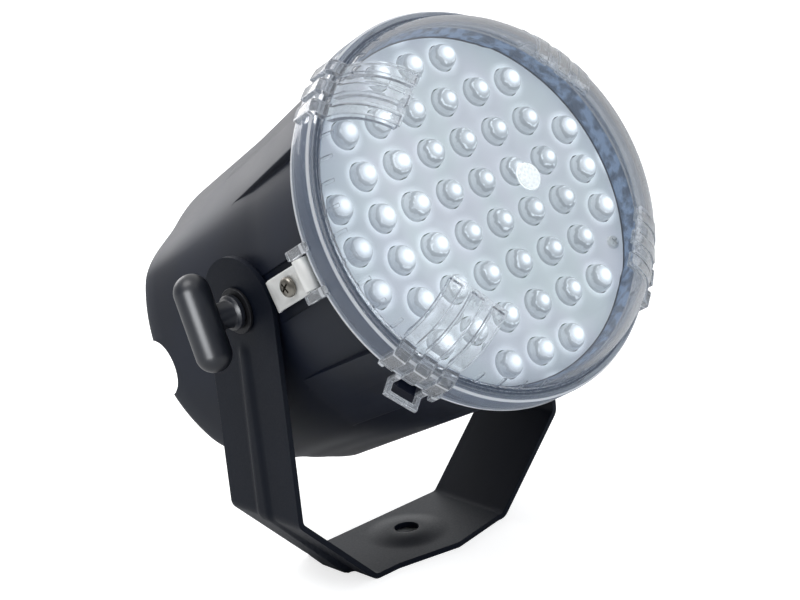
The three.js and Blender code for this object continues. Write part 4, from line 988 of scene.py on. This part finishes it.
def yokePath():  # points along the outside of the strap, from one arm's top to the other's
    y = yoke
    half, base = y["width"] / 2, y["base"] / 2
    corners = [Vector((-half, y["arm"])), Vector((-half, y["bend"])), Vector((-base, 0)), Vector((base, 0)),
               Vector((half, y["bend"])), Vector((half, y["arm"]))]
    points = [corners[0]]
    for before, here, after in zip(corners, corners[1:], corners[2:]):
        into, out = (here - before).normalized(), (after - here).normalized()
        angle = into.angle(out)
        reach = y["bendRadius"] * math.tan(angle / 2)
        start = here - into * reach
        for k in range(y["bendSteps"] + 1):
            part = angle * k / y["bendSteps"]
            along = y["bendRadius"] * math.sin(part)
            inside = y["bendRadius"] * (1 - math.cos(part))
            side = Vector((-into.y, into.x)) * (1 if into.x * out.y - into.y * out.x > 0 else -1)
            points.append(start + into * along + side * inside)
    points.append(corners[-1])
    return points


def yokeStations():  # a place, an outward direction and half the strap's depth in each row
    points = yokePath()
    lengths = [0]
    for a, b in zip(points, points[1:]):
        lengths.append(lengths[-1] + (b - a).length)
    stations, k, half = [], 0, yoke["depth"] / 2
    for row in range(yoke["rows"] + 1):
        want = lengths[-1] * row / yoke["rows"]
        while k < len(points) - 2 and lengths[k + 1] < want:
            k += 1
        along = (points[k + 1] - points[k]).normalized()
        stations.append((points[k] + along * (want - lengths[k]), Vector((along.y, -along.x)), half))
    cap = []
    for step in range(1, yoke["capSteps"] + 1):  # the round tops
        turn = math.pi / 2 * step / yoke["capSteps"]
        cap.append((half * math.sin(turn), half * math.cos(turn)))
    ends = []
    for place, normal, _ in (stations[0], stations[-1]):
        ends.append([(place + Vector((0, rise)), normal, max(wide, 0.02)) for rise, wide in cap])
    return ends[0][::-1] + stations + ends[1]


def ribRise(y, z):  # how far the rib on the outside stands proud here
    c = yoke
    low = 1 - smooth(z, 0, c["bend"])  # wider and higher towards the base
    width = c["ribBend"] + (c["ribFoot"] - c["ribBend"]) * low
    if z > c["bend"]:
        width = c["ribBend"] + (c["ribTop"] - c["ribBend"]) * (z - c["bend"]) / (c["arm"] - c["bend"])
    side = 1 - smooth(abs(y), width / 2 - c["ribSide"] / 2, width / 2 + c["ribSide"] / 2)
    top = c["arm"] - c["ribStart"]
    ends = smooth(z, 0.2, 2.2) * (1 - smooth(z, top - c["ribFade"], top))
    return (c["ribHeight"] + (c["ribEnd"] - c["ribHeight"]) * low) * side * ends


def dishDepth(x, y, z):
    if abs(x) >= yoke["base"] / 2 or z >= 1:
        return 0
    return yoke["dishHeight"] * (1 - smooth(math.hypot(x, y), yoke["dishTop"], yoke["dishFoot"]))


def makeYoke():
    stations = yokeStations()
    columns = yoke["columns"]
    selectNone()
    bpy.ops.mesh.primitive_grid_add(x_subdivisions=columns, y_subdivisions=len(stations) - 1, size=1)
    strap = named("yokeStrap")
    pushes = []
    for vertex in strap.data.vertices:
        row = round((vertex.co.y + 0.5) * (len(stations) - 1))
        across = vertex.co.x * 2
        place, normal, half = stations[row]
        x, z, y = place.x, place.y, across * half
        if z < 1 and y < 0:  # the front edge of the base swells out
            reach = yoke["base"] / 2 - yoke["swellEnd"] - yoke["swellX"]
            y *= 1 + yoke["swell"] / half * max(0, 1 - abs(x - yoke["swellX"]) / reach)
        push = dishDepth(x, y, z)
        vertex.co = (x - normal.x * push, y, z - normal.y * push)
        out = ribRise(y, z)
        pushes.append(Vector((normal.x * out, 0, max(normal.y * out, -z))))
    faceOutwards()
    middle = min(strap.data.polygons, key=lambda face: (face.center - Vector((0, 16, 0))).length)
    if middle.normal.z > 0:
        strap.data.flip_normals()
    pick(strap)
    wall = strap.modifiers.new("wall", "SOLIDIFY")
    wall.thickness, wall.offset = yoke["thickness"], -1
    bpy.ops.object.modifier_apply(modifier=wall.name)
    for vertex, push in zip(strap.data.vertices, pushes):  # the outside comes first
        vertex.co += push
    cross, arm = yoke["width"], yoke["arm"]
    combined(strap, rod("pivotHole", yoke["pivotHole"], (-cross, 0, arm), (cross, 0, arm), 64), "DIFFERENCE")
    return combined(strap, rod("mountHole", yoke["mountHole"], (0, 0, -9), (0, 0, 9), 64), "DIFFERENCE")


stand = finished(makeYoke(), standFrame, "yoke", "yokePaint", ["yoke"])
lightOnly("baseSheen", stand)
print("yoke done")

# clips, screws and washers
def makeClip(name):
    t, inner = clip["thickness"], clip["barRadius"] + clip["curlGap"]
    low, outer = clip["seat"] + clip["gap"], inner + t
    curl = clip["bar"] - outer
    turns = [math.radians(180 - 15 * k) for k in range(19)]
    x, z, back, fold, drop = clip["barX"], clip["bar"], clip["back"], clip["fold"], clip["foldDrop"]

    def roundBar(radius):
        return [(x + radius * math.cos(turn), z + radius * math.sin(turn)) for turn in turns]

    points = [
        (low - drop, back), (low, fold), (low, curl), *roundBar(outer), *roundBar(inner)[::-1],
        (low + t, curl), (low + t, fold), (low + t - drop, back)]
    strip = slab(name, points, -clip["width"] / 2, clip["width"] / 2)
    hole = rod("hole", clip["hole"], (low - 2, 0, clip["screw"]), (low + t + 2, 0, clip["screw"]), 32)
    return softened(combined(strip, hole, "DIFFERENCE"), clip["edge"], 2, 50)


clipScrew = {"shank": 1.5, "radius": 3.5, "height": 2.1, "length": 8}
plateScrew = {"shank": 1.1, "radius": 2.4, "height": 1.5, "length": 11}


def crossScrew(name, shank, radius, height, length):  # along Z, its head's underside at 0
    floor = height * 0.35
    piece = turned(name, [
        (0, -length), (shank, -length), (shank, 0), (radius - 0.1, 0), (radius, 0.15), (radius, floor),
        (radius * 0.94, height * 0.62), (radius * 0.8, height * 0.84), (radius * 0.55, height * 0.96),
        (0, height)], 48)
    long, wide = radius * 0.6, radius * 0.11
    for turn in (25, 115):
        slot = block("slot", (-long, -wide, floor), (long, wide, height + 1))
        slot.data.transform(spun(turn))
        combined(piece, slot, "DIFFERENCE")
    return piece


for name, side in (("left", -1), ("right", 1)):
    strip = makeClip("coverClip_" + name)
    strip.data.transform(spun(0 if side > 0 else 180))
    finished(strip, lampFrame, "head", "brightSteel", ["cover_clip_" + name])
    fastener = crossScrew("clipScrew_" + name, **clipScrew)
    fastener.data.transform(spun(90 * side, "Y"))
    outside = clip["seat"] + clip["gap"] * 2 + clip["thickness"]
    fastener.data.transform(Matrix.Translation((side * outside, 0, clip["screw"])))
    finished(fastener, lampFrame, "head", "screwSteel", ["clip_screw_" + name])
    for label, node, radius, hole, start, end, material, slot in (
            ("capWasher", "knob_washer_", 8, 3.3, 64.1, 65.3, "blackSteel", "bright_steel"),
            ("frictionWasher", "friction_washer_", 10, 4.2, 60.6, 61.5, "rubber", "rubber")):
        washer = turned(label + "_" + name, [
            (hole, start), (radius - 0.2, start), (radius, start + 0.2), (radius, end - 0.2),
            (radius - 0.2, end), (hole, end), (hole, start)], 64)
        washer.data.transform(spun(90 * side, "Y"))
        node += name
        finished(washer, pivotFrame, frame["nodes"][node]["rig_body"], material, [node])
fastener = crossScrew("plateScrew", **plateScrew)
fastener.data.transform(Matrix.Translation((plate["screwX"], plate["screwY"], plate["front"] + 0.3)))
finished(fastener, lampFrame, "head", "brightSteel", ["plate_screw"])
print("clips, screws and washers done")

# materials of the parts that keep their shape
carried = {  # each material, and how its parts' names begin
    "housingPlastic": ("rear_panel", "power_inlet"),
    "knobPlastic": ("speed_knob",),
    "brightSteel": ("plate_spacer", "speed_nut", "speed_shaft", "inlet_nut", "knob_stud"),
    "screwSteel": ("rear_screw", "board_screw"),
    "castAlloy": ("speed_control", "heat_sink", "board_post"),
    "brass": ("threaded_insert",),
    "boardGreen": ("control_board",),
    "capSleeve": ("storage_capacitor",),
    "terminalGreen": ("terminal_block",),
    "greyInsulation": ("harness",),
    "redInsulation": ("positive_lead",),
    "blackInsulation": ("negative_lead", "control_chip"),
}
for name, node in frame["nodes"].items():
    for finish, beginnings in carried.items():
        if name.startswith(beginnings):
            node.data.materials.clear()
            node.data.materials.append(finishes[finish])
print("carried parts painted")
